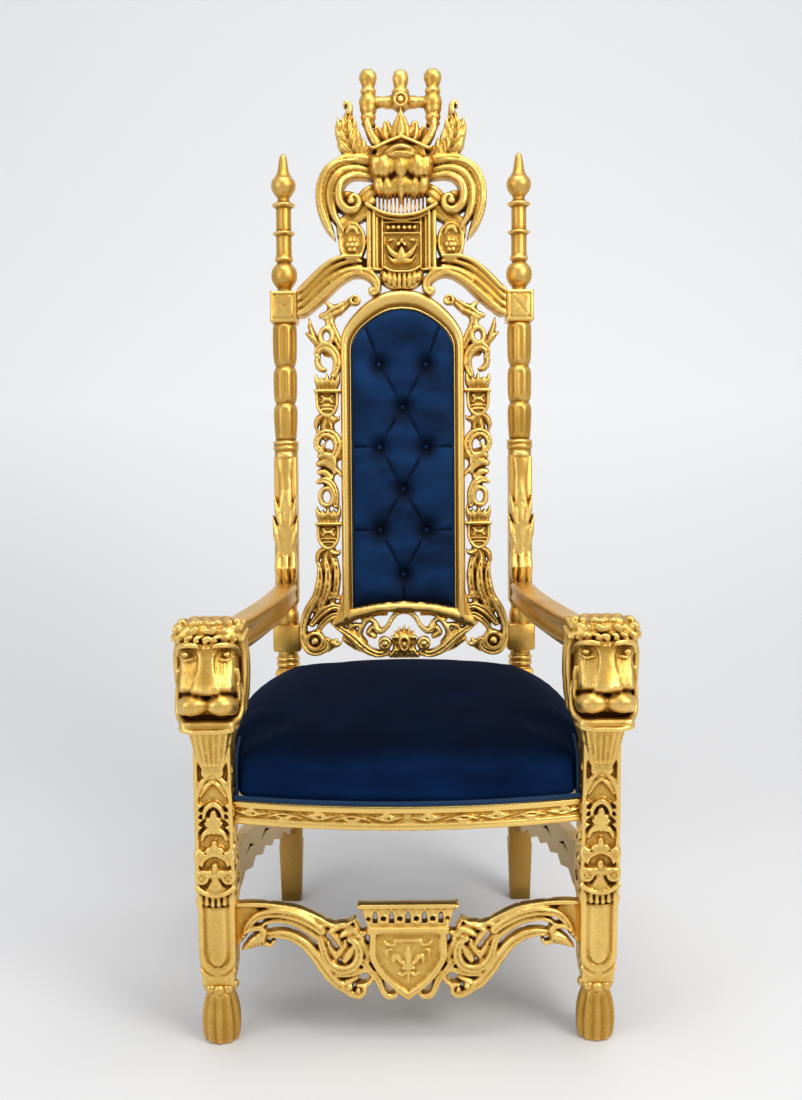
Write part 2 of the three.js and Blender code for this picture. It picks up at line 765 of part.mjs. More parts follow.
function seatCushion() {
  const plan = seatPlan();
  const shrink = (share) => plan.map(([x, y]) => [x * share, seatCentre + (y - seatCentre) * share]);
  const lift = (share, drop) => shrink(share).map(([x, y]) => [x, y, seatDome(x, y) - drop]);
  const base = shrink(1).map(([x, y]) => [x, y, seatRailTop + gap]);
  return solid(loft([base, lift(1, 30), lift(0.985, 11), lift(0.945, 0), lift(0.65, 0), lift(0.3, 0)]));
}

addPiece(throne, "seat_cushion", seatCushion(), velvet);

// The braid round the foot of the seat
function seatGimp() {
  const plan = seatPlan();
  const ring = (offset) => plan.map(([x, y], i) => {
    const before = plan[(i + plan.length - 1) % plan.length];
    const after = plan[(i + 1) % plan.length];
    const into = new THREE.Vector2(x - before[0], y - before[1]).normalize();
    const onward = new THREE.Vector2(after[0] - x, after[1] - y).normalize();
    const normal = new THREE.Vector2(into.y + onward.y, -into.x - onward.x).normalize();
    const reach = offset / Math.max(normal.dot(new THREE.Vector2(into.y, -into.x)), 0.5);
    return new THREE.Vector2(x + normal.x * reach, y + normal.y * reach);
  });
  const shape = new THREE.Shape(ring(gap + gimpThickness));
  shape.holes.push(new THREE.Path(ring(gap)));
  const geometry = new THREE.ExtrudeGeometry(shape, { depth: gimpWidth, bevelEnabled: false });
  geometry.translate(0, 0, seatRailTop + gap);
  return solid(geometry);
}

addPiece(throne, "seat_gimp", seatGimp(), braid);

// Front legs with lion heads

function legCore(side) {
  const levels = [
    [92, 2, 0, 6], [118, 4, 3, 10], [150, 0, 0, 8], [262, 0, 0, 8], [300, -3, -4, 10], [350, 0, -1, 6],
    [500, -1, -2, 14], [600, 0, 0, 12],
  ];
  return solid(loft(levels.map(([z, front, outer, chamfer]) => chamferedRing(
    legInner, legInner + legWidth - outer + z * 0.01, legFront + front, legBack, rise(z), chamfer,
  ).map(([x, y, height]) => [side * x, y, height]))));
}

function legStrand(side, path, halfWidths, options) {
  const points = path.map(([s, z]) => [side * (legCentre + s), rise(z)]);
  return strand(points, halfWidths, { back: legFront + 8, ...options });
}

function legCarving(side) {
  const face = legFront;
  const make = (path, widths, options) => legStrand(side, path, widths, options);
  const middle = side * legCentre;
  const parts = [
    make([[-17, 250], [-17, 170], [0, 148], [17, 170], [17, 250]], 4, { front: face - 5 }),
    make([[-22, 370], [-19, 420], [0, 438], [19, 420], [22, 370]], 4, { front: face - 8 }),
    make([[0, 350], [0, 300], [0, 272]], [14, 11, 20], { front: [face - 14, face - 7] }),
  ];
  for (const z of [412, 372]) parts.push(boss(middle, rise(z), 11, 15, face + 4, face - 13, 4));
  parts.push(...[-1, 1].flatMap((turn) => [
    make([[turn * 28, 350], [turn * 14, 338], [turn * 29, 312], [turn * 16, 296]], [4, 7, 8, 4], { front: face - 12 }),
    boss(middle + turn * 17, rise(500), 15, 23, face + 4, face - 12, 5),
  ]));
  return parts;
}

function legFoot(side) {
  const middle = side * (legCentre - 1);
  const levels = [[0, 26, 0.05], [10, 31, 0.16], [36, 33, 0.2], [64, 31, 0.2], [90, 23, 0]];
  const parts = [turned(middle, 0, levels.map(([z, r, flute]) => [rise(z), r, flute]), 12)];
  const balls = 3;
  for (let i = 0; i < balls; i += 1) {
    const angle = -Math.PI / 2 + (i - 1) * Math.PI / 3;
    parts.push(lump(side, 22 * Math.cos(angle) - 1, 22 * Math.sin(angle), 99, [12, 12, 13]));
  }
  return parts;
}

// A rounded lump of the lion's head or the foot, placed from the leg's middle
function lump(side, s, y, z, sizes, detail = 0) {
  const shape = new THREE.IcosahedronGeometry(1.06, detail);
  shape.scale(...sizes);
  shape.translate(side * (legCentre + s), y, rise(z));
  return solid(shape);
}

// One puffed lobe of the lion's muzzle
function muzzle(side, s, share) {
  const shape = new THREE.SphereGeometry(1, 6, 4);
  shape.rotateZ(Math.PI / 2);
  shape.scale(32 * share, 30, 20);
  shape.translate(side * (legCentre + s), -58, rise(631));
  return solid(shape);
}

function lionHead(side) {
  const share = lionWidth / 118;
  const mirrored = (ring) => ring.map(([x, y, z]) => [side * x, y, z]);
  const slab = (levels, rear, chamfer) => solid(loft(levels.map(([z, half, front]) => mirrored(chamferedRing(
    legCentre - half * share, legCentre + half * share, front, rear, rise(z), chamfer)))));
  const parts = [
    slab([[594, 46, -48], [640, 52, -48], [700, 53, -40], [742, 59, -42], [770, 46, -30]], 44, 14),
    slab([[644, 34, -86], [662, 30, -80], [694, 19, -64], [736, 27, -48]], -20, 5),
    slab([[588, 50, -76], [604, 50, -78]], 10, 16),
  ];
  parts.push(...[-1, 1].flatMap((turn) => [
    muzzle(side, turn * 27 * share, share),
    lump(side, turn * 42 * share, -44, 716, [10, 10, 11]),
  ]));
  const curls = 4;
  for (let i = 0; i < curls; i += 1) {
    parts.push(lump(side, (i - (curls - 1) / 2) * 29 * share, -36, 757, [18, 15, 14]));
  }
  const collar = [[600, 41, -44], [566, 35, -42], [524, 6, -37]];
  parts.push(solid(loft(collar.map(([z, half, front]) => mirrored([
    [legCentre - half, 0, rise(z)], [legCentre - half, front + 8, rise(z)], [legCentre, front, rise(z)],
    [legCentre + half, front + 8, rise(z)], [legCentre + half, 0, rise(z)],
  ])))));
  const mouth = block(side * legCentre - 32 * share, side * legCentre + 32 * share, -120, -62, rise(606), rise(613));
  return join(parts).subtract(mouth);
}

function frontLeg(side) {
  const leg = join([legCore(side), ...legCarving(side), ...legFoot(side), lionHead(side)]);
  const innerSide = side > 0
    ? block(0, legInner, -200, 200, 0, rise(540))
    : block(-legInner, 0, -200, 200, 0, rise(540));
  return leg.subtract(innerSide);
}

addPiece(throne, "front_leg_left", frontLeg(-1), gold);
addPiece(throne, "front_leg_right", frontLeg(1), gold);

// Arms

function arm(side) {
  const frontFace = 46 + gap;
  const path = new THREE.CatmullRomCurve3([
    new THREE.Vector3(postHalfSpacing, seatDepth + 55, 0), new THREE.Vector3(postHalfSpacing + 4, seatDepth - 45, 0),
    new THREE.Vector3(postHalfSpacing + 20, seatDepth * 0.58, 0), new THREE.Vector3(legCentre - 32, seatDepth * 0.27, 0),
    new THREE.Vector3(legCentre - 12, frontFace, 0),
  ]);
  const steps = 7;
  const rings = [];
  for (let i = 0; i <= steps; i += 1) {
    const t = i / steps;
    const centre = path.getPoint(t);
    const tangent = path.getTangent(t);
    const lastStep = i === steps;
    const sideways = lastStep ? [1, 0] : [-tangent.y, tangent.x];
    const top = THREE.MathUtils.lerp(armTopRear, armTopFront, t * t);
    const bottom = top - armHeight - 14 * t;
    const section = [
      [-0.5, bottom + 8], [-0.5, top - 6], [-0.4, top], [0.4, top], [0.5, top - 6], [0.5, bottom + 8],
      [0.4, bottom], [-0.4, bottom],
    ];
    rings.push(section.map(([s, z]) => [
      side * (centre.x + s * armWidth * sideways[0]), centre.y + s * armWidth * sideways[1], z,
    ]));
  }
  const whole = solid(loft(rings));
  const postFace = new THREE.BoxGeometry(300, 300, 600);
  postFace.translate(side * postHalfSpacing, 150 - gap, armTopRear);
  postFace.applyMatrix4(leaning);
  return whole.subtract(solid(postFace));
}

addPiece(throne, "arm_left", arm(-1), gold);
addPiece(throne, "arm_right", arm(1), gold);

// Front stretcher

const stretcherY = -15;
const stretcherDepths = { back: stretcherY + stretcherThickness / 2, front: stretcherY - stretcherThickness / 2 };

function stretcherStrand(side, path, halfWidths, options = {}) {
  const points = path.map(([x, z]) => [side * x * legInner / 303, z + stretcherTop - 260]);
  return strand(points, halfWidths, { ...stretcherDepths, ...options });
}

function stretcherSide(side) {
  const proud = stretcherDepths.front - 5;
  const make = (path, widths, options) => stretcherStrand(side, path, widths, options);
  return [
    make([[312, 236], [250, 238], [180, 222], [136, 198], [66, 208]], [24, 18, 15, 12, 10]),
    make([[312, 204], [280, 204], [256, 188]], [30, 20, 5], { front: proud }),
    make([[262, 196], [226, 198], [190, 188], [158, 152], [92, 100]], [5, 10, 11, 12, 13]),
    make([[146, 206], [150, 150]], 8),
    make([[126, 198], [130, 166], [106, 150], [84, 172], [98, 196]], [7, 9, 10, 9, 6], { front: proud }),
    make([[120, 206], [92, 232]], [10, 1]),
    make([[84, 156], [62, 200]], [8, 8]),
    make([[154, 148], [112, 132], [62, 140]], [8, 9, 8]),
    make([[100, 104], [62, 104]], 12, { front: proud }),
    loop(side * 38 * legInner / 303, 112 + stretcherTop - 260, 10, 18, 6, stretcherDepths),
  ];
}

// The flaring crown over the shield, with a keyhole slot between merlons and a round hole in each
function stretcherCrown() {
  const shift = stretcherTop - 260;
  const merlons = 4;
  const topHalf = 88;
  const bottomHalf = 66;
  const lifted = (points) => outline(points.map(([x, z]) => [x, z + shift]));
  const depths = { back: stretcherDepths.back, front: stretcherDepths.front - 4 };
  const through = { back: depths.back + 10, front: depths.front - 10 };
  let crown = plate(lifted([[-bottomHalf, 214], [-topHalf, 260], [topHalf, 260], [bottomHalf, 214]]), depths);
  for (let i = 0; i < merlons; i += 1) {
    const x = (-topHalf + 2 * topHalf * (i + 0.5) / merlons) * 0.88;
    const hole = new THREE.Path();
    hole.absarc(x, 240 + shift, 6, 0, 2 * Math.PI);
    crown = crown.subtract(plate(new THREE.Shape(hole.getPoints(2).slice(0, -1)), through));
  }
  for (let i = 1; i < merlons; i += 1) {
    const x = (-topHalf + 2 * topHalf * i / merlons) * 0.85;
    crown = crown.subtract(plate(lifted([[x - 5, 228], [x * 1.1, 254], [x + 5, 228]]), through));
  }
  return crown;
}

function stretcherShield() {
  const shift = stretcherTop - 260;
  const half = [[66, 222], [66, 158], [44, 118], [4, 80]];
  const mirrored = half.map(([x, z]) => [-x, z]);
  const board = outline([...mirrored, ...half.reverse()].map(([x, z]) => [x, z + shift]));
  const front = stretcherDepths.front;
  const make = (side, path, widths, reach) => stretcherStrand(side, path, widths, { back: front + 4, front: front - reach });
  return [
    plate(board, { back: stretcherDepths.back, front: front - 1 }),
    make(1, [[-70, 212], [70, 212]], 7, 10),
    make(1, [[0, 184], [0, 154], [0, 122]], [2, 9, 3], 9),
    ...bothSides((side) => [
      make(side, [[60, 206], [60, 158], [40, 122], [4, 86]], 5, 8),
      make(side, [[4, 140], [20, 162], [32, 150]], [4, 7, 2], 8),
    ]),
  ];
}

function frontStretcher() {
  const whole = join([stretcherCrown(), ...stretcherShield(), ...bothSides((side) => stretcherSide(side))]);
  const end = legInner - gap;
  return whole.intersect(block(-end, end, -100, 100, 0, 400));
}

addPiece(throne, "front_stretcher", frontStretcher(), gold);

// Side stretchers

// A board with an arched top, a scalloped lower edge and two slots, drawn along its own length
function sideStretcher(side) {
  const start = new THREE.Vector2(legCentre - 8, legBack + gap);
  const end = new THREE.Vector2(postHalfSpacing, seatDepth - gap - 1);
  const run = new THREE.Vector2().subVectors(end, start);
  const length = run.length();
  const board = new THREE.Shape();
  board.moveTo(0, 228);
  board.lineTo(0, 296);
  board.quadraticCurveTo(length * 0.12, 332, length * 0.32, 318);
  board.quadraticCurveTo(length * 0.62, 296, length, 252);
  board.lineTo(length, 158);
  const scallops = 6;
  const edge = (s) => 166 + 82 * Math.sin(Math.min((1 - s) * 1.25, 1) * Math.PI / 2);
  for (let i = 0; i < scallops; i += 1) {
    const t = 0.94 - i * 0.15;
    board.lineTo(length * t, edge(t) + 8);
    board.lineTo(length * (t - 0.05), edge(t - 0.05) - 6);
  }
  const placed = (shape, thickness) => {
    const geometry = new THREE.ExtrudeGeometry(shape, { depth: thickness, bevelEnabled: false, curveSegments: 4 });
    geometry.rotateX(Math.PI / 2);
    geometry.translate(0, thickness / 2, 0);
    geometry.rotateZ(Math.atan2(run.y, run.x));
    geometry.translate(start.x, start.y, 0);
    if (side < 0) geometry.scale(-1, 1, 1);
    return solid(geometry);
  };
  const slots = [[0.2, 0.32, 284], [0.42, 0.56, 266]].map(([from, to, z]) => {
    const middle = length * (from + to) / 2;
    const slot = outline([[length * from, z], [middle, z + 12], [length * to, z - 4], [middle, z + 4]]);
    return placed(slot, 2 * sideStretcherThickness);
  });
  const ends = block(-600, 600, legBack + gap, seatDepth - gap - 0.5, 0, 400);
  const whole = placed(board, sideStretcherThickness).intersect(ends);
  return slots.reduce((cut, slot) => cut.subtract(slot), whole);
}

addPiece(throne, "side_stretcher_left", sideStretcher(-1), dullGold);
addPiece(throne, "side_stretcher_right", sideStretcher(1), dullGold);

// The origin is on the floor under the middle of the throne
throne.updateMatrixWorld(true);
const extent = new THREE.Box3().setFromObject(throne, true);
const origin = new THREE.Group();
throne.position.y = -(extent.min.y + extent.max.y) / 2;
origin.add(throne);

export default origin;
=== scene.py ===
"""The looks of a tall gilded throne: carved gold work, blue velvet and braid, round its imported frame.

Carving is drawn in millimetres. A Panel is a board carved from the front, kept as maps of its outline
and of its front and rear surfaces. A Block is a free form, kept as distances on a grid of points.
"""

import math

import bpy
import numpy as np
import openvdb
from mathutils import Matrix, Vector


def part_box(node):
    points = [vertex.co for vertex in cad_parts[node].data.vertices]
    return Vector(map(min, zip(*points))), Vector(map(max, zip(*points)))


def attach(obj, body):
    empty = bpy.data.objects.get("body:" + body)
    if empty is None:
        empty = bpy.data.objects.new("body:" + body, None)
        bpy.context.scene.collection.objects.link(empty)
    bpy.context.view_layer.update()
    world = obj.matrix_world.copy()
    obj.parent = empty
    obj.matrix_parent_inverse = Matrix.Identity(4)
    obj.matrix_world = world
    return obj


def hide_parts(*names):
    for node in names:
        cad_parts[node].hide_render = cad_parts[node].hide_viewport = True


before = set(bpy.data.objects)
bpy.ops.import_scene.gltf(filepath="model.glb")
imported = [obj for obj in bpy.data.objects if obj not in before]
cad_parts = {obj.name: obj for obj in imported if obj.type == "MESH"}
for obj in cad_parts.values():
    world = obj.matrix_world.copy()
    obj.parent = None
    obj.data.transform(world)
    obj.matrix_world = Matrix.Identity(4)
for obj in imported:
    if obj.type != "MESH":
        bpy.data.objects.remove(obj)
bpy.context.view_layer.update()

MM = 0.001
FAR = 60.0


def corners(node):
    """A node's lowest and highest corner in millimetres."""
    low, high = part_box(node)
    return np.array(low) / MM, np.array(high) / MM


# Places taken from the frame
side_rail_low, side_rail_high = corners("side_rail_right")
leg_low, leg_high = corners("front_leg_right")
post_low, post_high = corners("back_post_right")
front_rail_low, front_rail_high = corners("front_rail")
seat_low, seat_high = corners("seat_cushion")
LEG_MIDDLE_Y = side_rail_low[1] - 35.3
RAIL_TOP = side_rail_high[2]
RAIL_BOTTOM = side_rail_low[2]
BACK_Y = side_rail_high[1] + 0.3
POST_X = (post_low[0] + post_high[0]) / 2
POST_INNER = post_low[0]
LEG_INNER = 303.0
LEG_X = LEG_INNER + 33
LEAN = math.radians(6.1)


def from_back(points):
    """Places drawn on the leaning back (x, depth, height along it), as places in the frame."""
    x, depth, height = np.asarray(points, dtype=float).T
    along = height - RAIL_TOP
    return np.stack([
        x,
        BACK_Y + depth * math.cos(LEAN) + along * math.sin(LEAN),
        RAIL_TOP + along * math.cos(LEAN) - depth * math.sin(LEAN),
    ], axis=1)


def from_front(points):
    """Places drawn round the front legs' centre line (x, depth, height), as places in the frame."""
    return np.asarray(points, dtype=float) + [0, LEG_MIDDLE_Y, 0]


# Lines

def smooth_line(points, steps=8):
    """A Catmull-Rom line through rows of numbers, with `steps` pieces between two rows."""
    rows = np.asarray(points, dtype=float)
    if len(rows) == 2:
        share = np.linspace(0, 1, steps + 1)[:, None]
        return rows[0] * (1 - share) + rows[1] * share
    ends = np.vstack([2 * rows[0] - rows[1], rows, 2 * rows[-1] - rows[-2]])
    share = np.linspace(0, 1, steps, endpoint=False)[:, None]
    pieces = []
    for a, b, c, d in zip(ends[:-3], ends[1:-2], ends[2:-1], ends[3:]):
        pieces.append(0.5 * (2 * b + (c - a) * share + (2 * a - 5 * b + 4 * c - d) * share ** 2
                             + (3 * b - a - 3 * c + d) * share ** 3))
    return np.vstack([*pieces, rows[-1:]])


def nearest_on_line(places, line):
    """For each place: its distance to the line, which side it is on, and how far along it is, 0 to 1."""
    start = line[:-1]
    run = line[1:] - start
    size = np.maximum((run ** 2).sum(1), 1e-9)
    offset = places[:, None, :] - start[None, :, :]
    share = np.clip((offset * run).sum(2) / size, 0, 1)
    apart = offset - share[:, :, None] * run
    square = (apart ** 2).sum(2)
    best = square.argmin(1)
    row = np.arange(len(places))
    gone = np.concatenate([[0], np.cumsum(np.sqrt(size))])
    along = (gone[best] + share[row, best] * np.sqrt(size)[best]) / gone[-1]
    turn = run[best, 0] * apart[row, best, 1] - run[best, 1] * apart[row, best, 0]
    return np.sqrt(square[row, best]), np.where(turn < 0, -1.0, 1.0), along


def polygon_distance(places, shape):
    """Signed distance from each place to a closed outline, negative inside."""
    closed = np.vstack([shape, shape[:1]])
    distance, _, _ = nearest_on_line(places, closed)
    inside = np.zeros(len(places), dtype=bool)
    for (ax, az), (bx, bz) in zip(closed[:-1], closed[1:]):
        if az == bz:
            continue
        crosses = (az > places[:, 1]) != (bz > places[:, 1])
        inside ^= crosses & (places[:, 0] < ax + (places[:, 1] - az) * (bx - ax) / (bz - az))
    return np.where(inside, -distance, distance)


# Sections of a carved stroke: u runs from -1 to 1 across it and t from 0 to 1 along it

def rounded(u, t):
    return np.sqrt(np.clip(1 - u * u, 0, 1))


def reeded(count):
    def section(u, t):
        cell = (u * 0.5 + 0.5) * count
        v = 2 * (cell - np.floor(cell)) - 1
        return 0.4 * rounded(u, t) + 0.6 * np.sqrt(np.clip(1 - 0.97 * v * v, 0, 1)) * (1 - u ** 8)
    return section


def veined(count, slant=1.1):
    """A leaf: a sunk midrib and slanting hollows that give it lobes."""
    def section(u, t):
        lobes = 0.5 + 0.5 * np.cos(2 * math.pi * (count * t - slant * np.abs(u)))
        rib = np.exp(-(u / 0.16) ** 2)
        return rounded(u, t) * (0.62 + 0.38 * lobes) * (1 - 0.5 * rib)
    return section


def ribbed(u, t):
    """A petal: a sharp raised midrib and fine grooves beside it."""
    return rounded(u, t) * (0.72 + 0.28 * np.exp(-(u / 0.18) ** 2) - 0.14 * np.cos(u * 16) ** 2)


def rimmed(u, t):
    """A channel between two raised edges."""
    return np.where(np.abs(u) < 0.62, 0.35 + 0.25 * (u / 0.62) ** 2, np.sqrt(np.clip(1 - (np.abs(u) - 0.68) ** 2 / 0.105, 0, 1)))


def keeled(u, t):
    return 1 - np.abs(u) ** 1.3


class Panel:
    """A board carved from the front, drawn in x and height. Depths grow to the rear."""

    WALL = 3.0  # how steeply a stroke's wall falls outside its outline

    def __init__(self, low, high, step, fuller=1.0, deeper=1.0):
        self.step = step
        self.fuller = fuller
        self.deeper = deeper
        self.x = np.arange(low[0], high[0] + step, step)
        self.z = np.arange(low[1], high[1] + step, step)
        shape = (len(self.x), len(self.z))
        self.edge = np.full(shape, FAR)
        self.front = np.full(shape, FAR)
        self.rear = np.full(shape, -FAR)

    def window(self, low, high):
        """The part of the maps inside a box, and the places there."""
        i = np.searchsorted(self.x, [low[0], high[0]])
        j = np.searchsorted(self.z, [low[1], high[1]])
        part = (slice(i[0], i[1]), slice(j[0], j[1]))
        x, z = np.meshgrid(self.x[part[0]], self.z[part[1]], indexing="ij")
        return part, np.stack([x.ravel(), z.ravel()], axis=1), x.shape

    def lay(self, part, shape, distance, front, rear):
        """Adds a form: its outline's distance map with its two surfaces."""
        distance = distance.reshape(shape)
        outside = np.maximum(distance, 0)
        front = np.broadcast_to(front.reshape(shape) if np.ndim(front) else front, shape) + self.WALL * outside
        rear = np.broadcast_to(rear.reshape(shape) if np.ndim(rear) else rear, shape) - self.WALL * outside
        self.edge[part] = np.minimum(self.edge[part], distance)
        self.front[part] = np.minimum(self.front[part], front)
        self.rear[part] = np.maximum(self.rear[part], rear)

    def stroke(self, points, front, bulge=None, rear=30.0, section=rounded, steps=8, lobes=0, cut=0.25, skew=1.2):
        """A strand through rows of x, height and half width. front: depth of its highest line."""
        line = smooth_line(points, steps)
        margin = line[:, 2].max() * 1.4 + 9
        part, places, shape = self.window(line[:, :2].min(0) - margin, line[:, :2].max(0) + margin)
        if not len(places):
            return
        distance, side, along = nearest_on_line(places, line[:, :2])
        marks = np.linspace(0, 1, len(line))
        spans = np.concatenate([[0], np.cumsum(np.hypot(*np.diff(line[:, :2], axis=0).T))])
        half = np.interp(along, spans / spans[-1], line[:, 2]) * self.fuller
        if lobes:
            u = np.clip(distance / half, 0, 1)
            half = half * (1 - cut * np.abs(np.cos(math.pi * (lobes * along - skew * u))) ** 1.5)
        u = np.clip(side * distance / half, -1, 1)
        top = np.interp(along, np.linspace(0, 1, np.size(front)), np.atleast_1d(front))
        drop = half * 0.8
        if bulge is not None:
            drop = np.interp(along, np.linspace(0, 1, np.size(bulge)), np.atleast_1d(bulge)) * self.deeper
        surface = top + drop * (1 - section(u, along))
        back = np.interp(along, np.linspace(0, 1, np.size(rear)), np.atleast_1d(rear))
        self.lay(part, shape, distance - half, surface, back)

    def boss(self, x, z, size, front, rise, rear=30.0, turn=0.0, power=2.0):
        """A rounded lump. size: half width and half height."""
        reach = max(size) + 9
        part, places, shape = self.window((x - reach, z - reach), (x + reach, z + reach))
        if not len(places):
            return
        offset = places - [x, z]
        c, s = math.cos(turn), math.sin(turn)
        u = (offset[:, 0] * c + offset[:, 1] * s) / size[0]
        v = (-offset[:, 0] * s + offset[:, 1] * c) / size[1]
        ratio = (np.abs(u) ** power + np.abs(v) ** power) ** (1 / power)
        distance = (ratio - 1) * min(size)
        surface = front + rise * (1 - np.sqrt(np.clip(1 - ratio ** 2, 0, 1)))
        self.lay(part, shape, distance, surface, rear)

    def ring(self, x, z, size, half, front, bulge=None, rear=30.0, section=rounded):
        """A strand round an oval. size: half width and half height of its centre line."""
        angles = np.linspace(0, 2 * math.pi, 33)
        points = [(x + size[0] * math.cos(a), z + size[1] * math.sin(a), half) for a in angles]
        self.stroke(points, front, bulge, rear, section, steps=2)

    def slab(self, outline, front, rear=30.0, bevel=2.0):
        """A flat-faced board with a closed outline."""
        outline = np.asarray(outline, dtype=float)
        part, places, shape = self.window(outline.min(0) - 9, outline.max(0) + 9)
        if not len(places):
            return
        distance = polygon_distance(places, outline)
        surface = front + np.clip(distance + bevel, 0, bevel)
        self.lay(part, shape, distance, surface, rear)

    def turning(self, x, levels, middle, steps=6):
        """Upright turned work. levels: rows of height and radius."""
        line = smooth_line(levels, steps)
        reach = line[:, 1].max() + 9
        part, places, shape = self.window((x - reach, line[0, 0] - 3), (x + reach, line[-1, 0] + 3))
        if not len(places):
            return
        inside = (places[:, 1] >= line[0, 0]) & (places[:, 1] <= line[-1, 0])
        radius = np.where(inside, np.interp(places[:, 1], line[:, 0], np.maximum(line[:, 1], 0.5)), 0.5)
        apart = np.abs(places[:, 0] - x)
        half = np.sqrt(np.clip(radius ** 2 - apart ** 2, 0, None))
        distance = np.where(inside, apart - radius, np.maximum(apart - radius, 1.0))
        self.lay(part, shape, distance, middle - half, middle + half)

    def engrave(self, points, depth):
        """A sunk line through rows of x, height and half width."""
        line = smooth_line(points)
        margin = line[:, 2].max() * 2.5 + 3
        part, places, shape = self.window(line[:, :2].min(0) - margin, line[:, :2].max(0) + margin)
        if not len(places):
            return
        distance, _, along = nearest_on_line(places, line[:, :2])
        spans = np.concatenate([[0], np.cumsum(np.hypot(*np.diff(line[:, :2], axis=0).T))])
        half = np.interp(along, spans / spans[-1], line[:, 2])
        self.front[part] += (depth * np.exp(-(distance / half) ** 2)).reshape(shape)

    def dent(self, x, z, size, depth):
        """A sunk oval."""
        reach = max(size) * 2 + 3
        part, places, shape = self.window((x - reach, z - reach), (x + reach, z + reach))
        if not len(places):
            return
        ratio = np.hypot((places[:, 0] - x) / size[0], (places[:, 1] - z) / size[1])
        self.front[part] += (depth * np.exp(-ratio ** 4)).reshape(shape)

    def pierce(self, outline):
        """A hole right through."""
        outline = np.asarray(outline, dtype=float)
        part, places, shape = self.window(outline.min(0) - 9, outline.max(0) + 9)
        if not len(places):
            return
        self.edge[part] = np.maximum(self.edge[part], -polygon_distance(places, outline).reshape(shape))

    def field(self, mirrored):
        """Distances on a grid of points, with where the grid starts."""
        solid = self.edge < self.step
        nearest = np.where(solid, self.front, FAR)
        low = nearest.min() - 3 * self.step
        high = np.where(solid, self.rear, -FAR).max() + 3 * self.step
        y = np.arange(low, high + self.step, self.step)
        slope = np.gradient(self.front, self.step)
        ease = 1 / np.sqrt(1 + np.clip(slope[0] ** 2 + slope[1] ** 2, 0, 12))
        values = np.maximum(
            np.maximum(self.edge[:, None, :], (self.front[:, None, :] - y[None, :, None]) * ease[:, None, :]),
            y[None, :, None] - self.rear[:, None, :],
        ).astype(np.float32)
        start = np.array([self.x[0], y[0], self.z[0]])
        if mirrored:
            values = np.concatenate([values[:0:-1], values], axis=0)
            start[0] = -self.x[-1]
        return values, start


# Meshes

def box_blur(values, radius, axis):
    pad = [(radius + 1, radius) if i == axis else (0, 0) for i in range(3)]
    total = np.cumsum(np.pad(values, pad, mode="edge"), axis=axis, dtype=np.float32)
    count = values.shape[axis]
    low = [slice(None)] * 3
    high = [slice(None)] * 3
    low[axis] = slice(0, count)
    high[axis] = slice(2 * radius + 1, 2 * radius + 1 + count)
    return (total[tuple(high)] - total[tuple(low)]) / (2 * radius + 1)


def crowding(values, radius):
    """How much of the space round each grid point is solid, 0 to 1."""
    share = (values < 0).astype(np.float32)
    for axis in (0, 1, 2):
        share = box_blur(box_blur(share, radius, axis), max(radius // 2, 1), axis)
    return share


def mesh_of(name, points, faces, smooth=True):
    mesh = bpy.data.meshes.new(name)
    mesh.from_pydata(np.asarray(points, dtype=float).tolist(), [], [list(face) for face in faces])
    mesh.polygons.foreach_set("use_smooth", np.full(len(mesh.polygons), smooth))
    mesh.update()
    return mesh


class Shape:
    """A closed surface in millimetres: points, four-cornered and three-cornered faces, and hollows, which the materials
    paint as shade.
    """

    def __init__(self, points, quads, triangles=(), hollow=0.35):
        self.points = np.asarray(points, dtype=float)
        self.quads = np.asarray(quads, dtype=int).reshape(-1, 4)
        self.triangles = np.asarray(triangles, dtype=int).reshape(-1, 3)
        self.hollow = np.broadcast_to(hollow, len(self.points)).astype(float)

    def moved(self, place):
        return Shape(place(self.points), self.quads, self.triangles, self.hollow)

    def mirrored(self):
        return Shape(self.points * [-1, 1, 1], self.quads[:, ::-1], self.triangles[:, ::-1], self.hollow)

    def facing_out(self):
        a, b, c = (self.points[self.quads[:, i]] for i in (0, 1, 2))
        d = self.points[self.quads[:, 3]]
        volume = (np.cross(b, c) * a).sum() + (np.cross(c, d) * a).sum()
        if len(self.triangles):
            a, b, c = (self.points[self.triangles[:, i]] for i in range(3))
            volume += (np.cross(b, c) * a).sum()
        if volume < 0:
            self.quads = self.quads[:, ::-1]
            self.triangles = self.triangles[:, ::-1]
        return self


def piece(name, shapes, material, slot, *replaced):
    """Joins shapes into one object in the scene, riding on the frame's one body."""
    points = np.vstack([shape.points for shape in shapes]) * MM
    starts = np.cumsum([0] + [len(shape.points) for shape in shapes])
    quads = np.vstack([shape.quads + start for shape, start in zip(shapes, starts)])
    triangles = np.vstack([shape.triangles + start for shape, start in zip(shapes, starts)])
    corners_used = np.concatenate([quads.ravel(), triangles.ravel()])
    mesh = bpy.data.meshes.new(name)
    mesh.vertices.add(len(points))
    mesh.vertices.foreach_set("co", points.astype(np.float32).ravel())
    mesh.loops.add(len(corners_used))
    mesh.loops.foreach_set("vertex_index", corners_used.astype(np.int32))
    mesh.polygons.add(len(quads) + len(triangles))
    loop_starts = np.concatenate([np.arange(len(quads)) * 4, len(quads) * 4 + np.arange(len(triangles)) * 3])
    mesh.polygons.foreach_set("loop_start", loop_starts.astype(np.int32))
    mesh.polygons.foreach_set("use_smooth", np.ones(len(quads) + len(triangles), dtype=bool))
    mesh.update(calc_edges=True)
    attribute = mesh.attributes.new("hollow", "FLOAT", "POINT")
    attribute.data.foreach_set("value", np.concatenate([shape.hollow for shape in shapes]).astype(np.float32))
    mesh.materials.append(material)
    made = bpy.data.objects.new(name, mesh)
    bpy.context.scene.collection.objects.link(made)
    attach(made, "root")
    if replaced:
        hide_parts(*replaced)
    return made


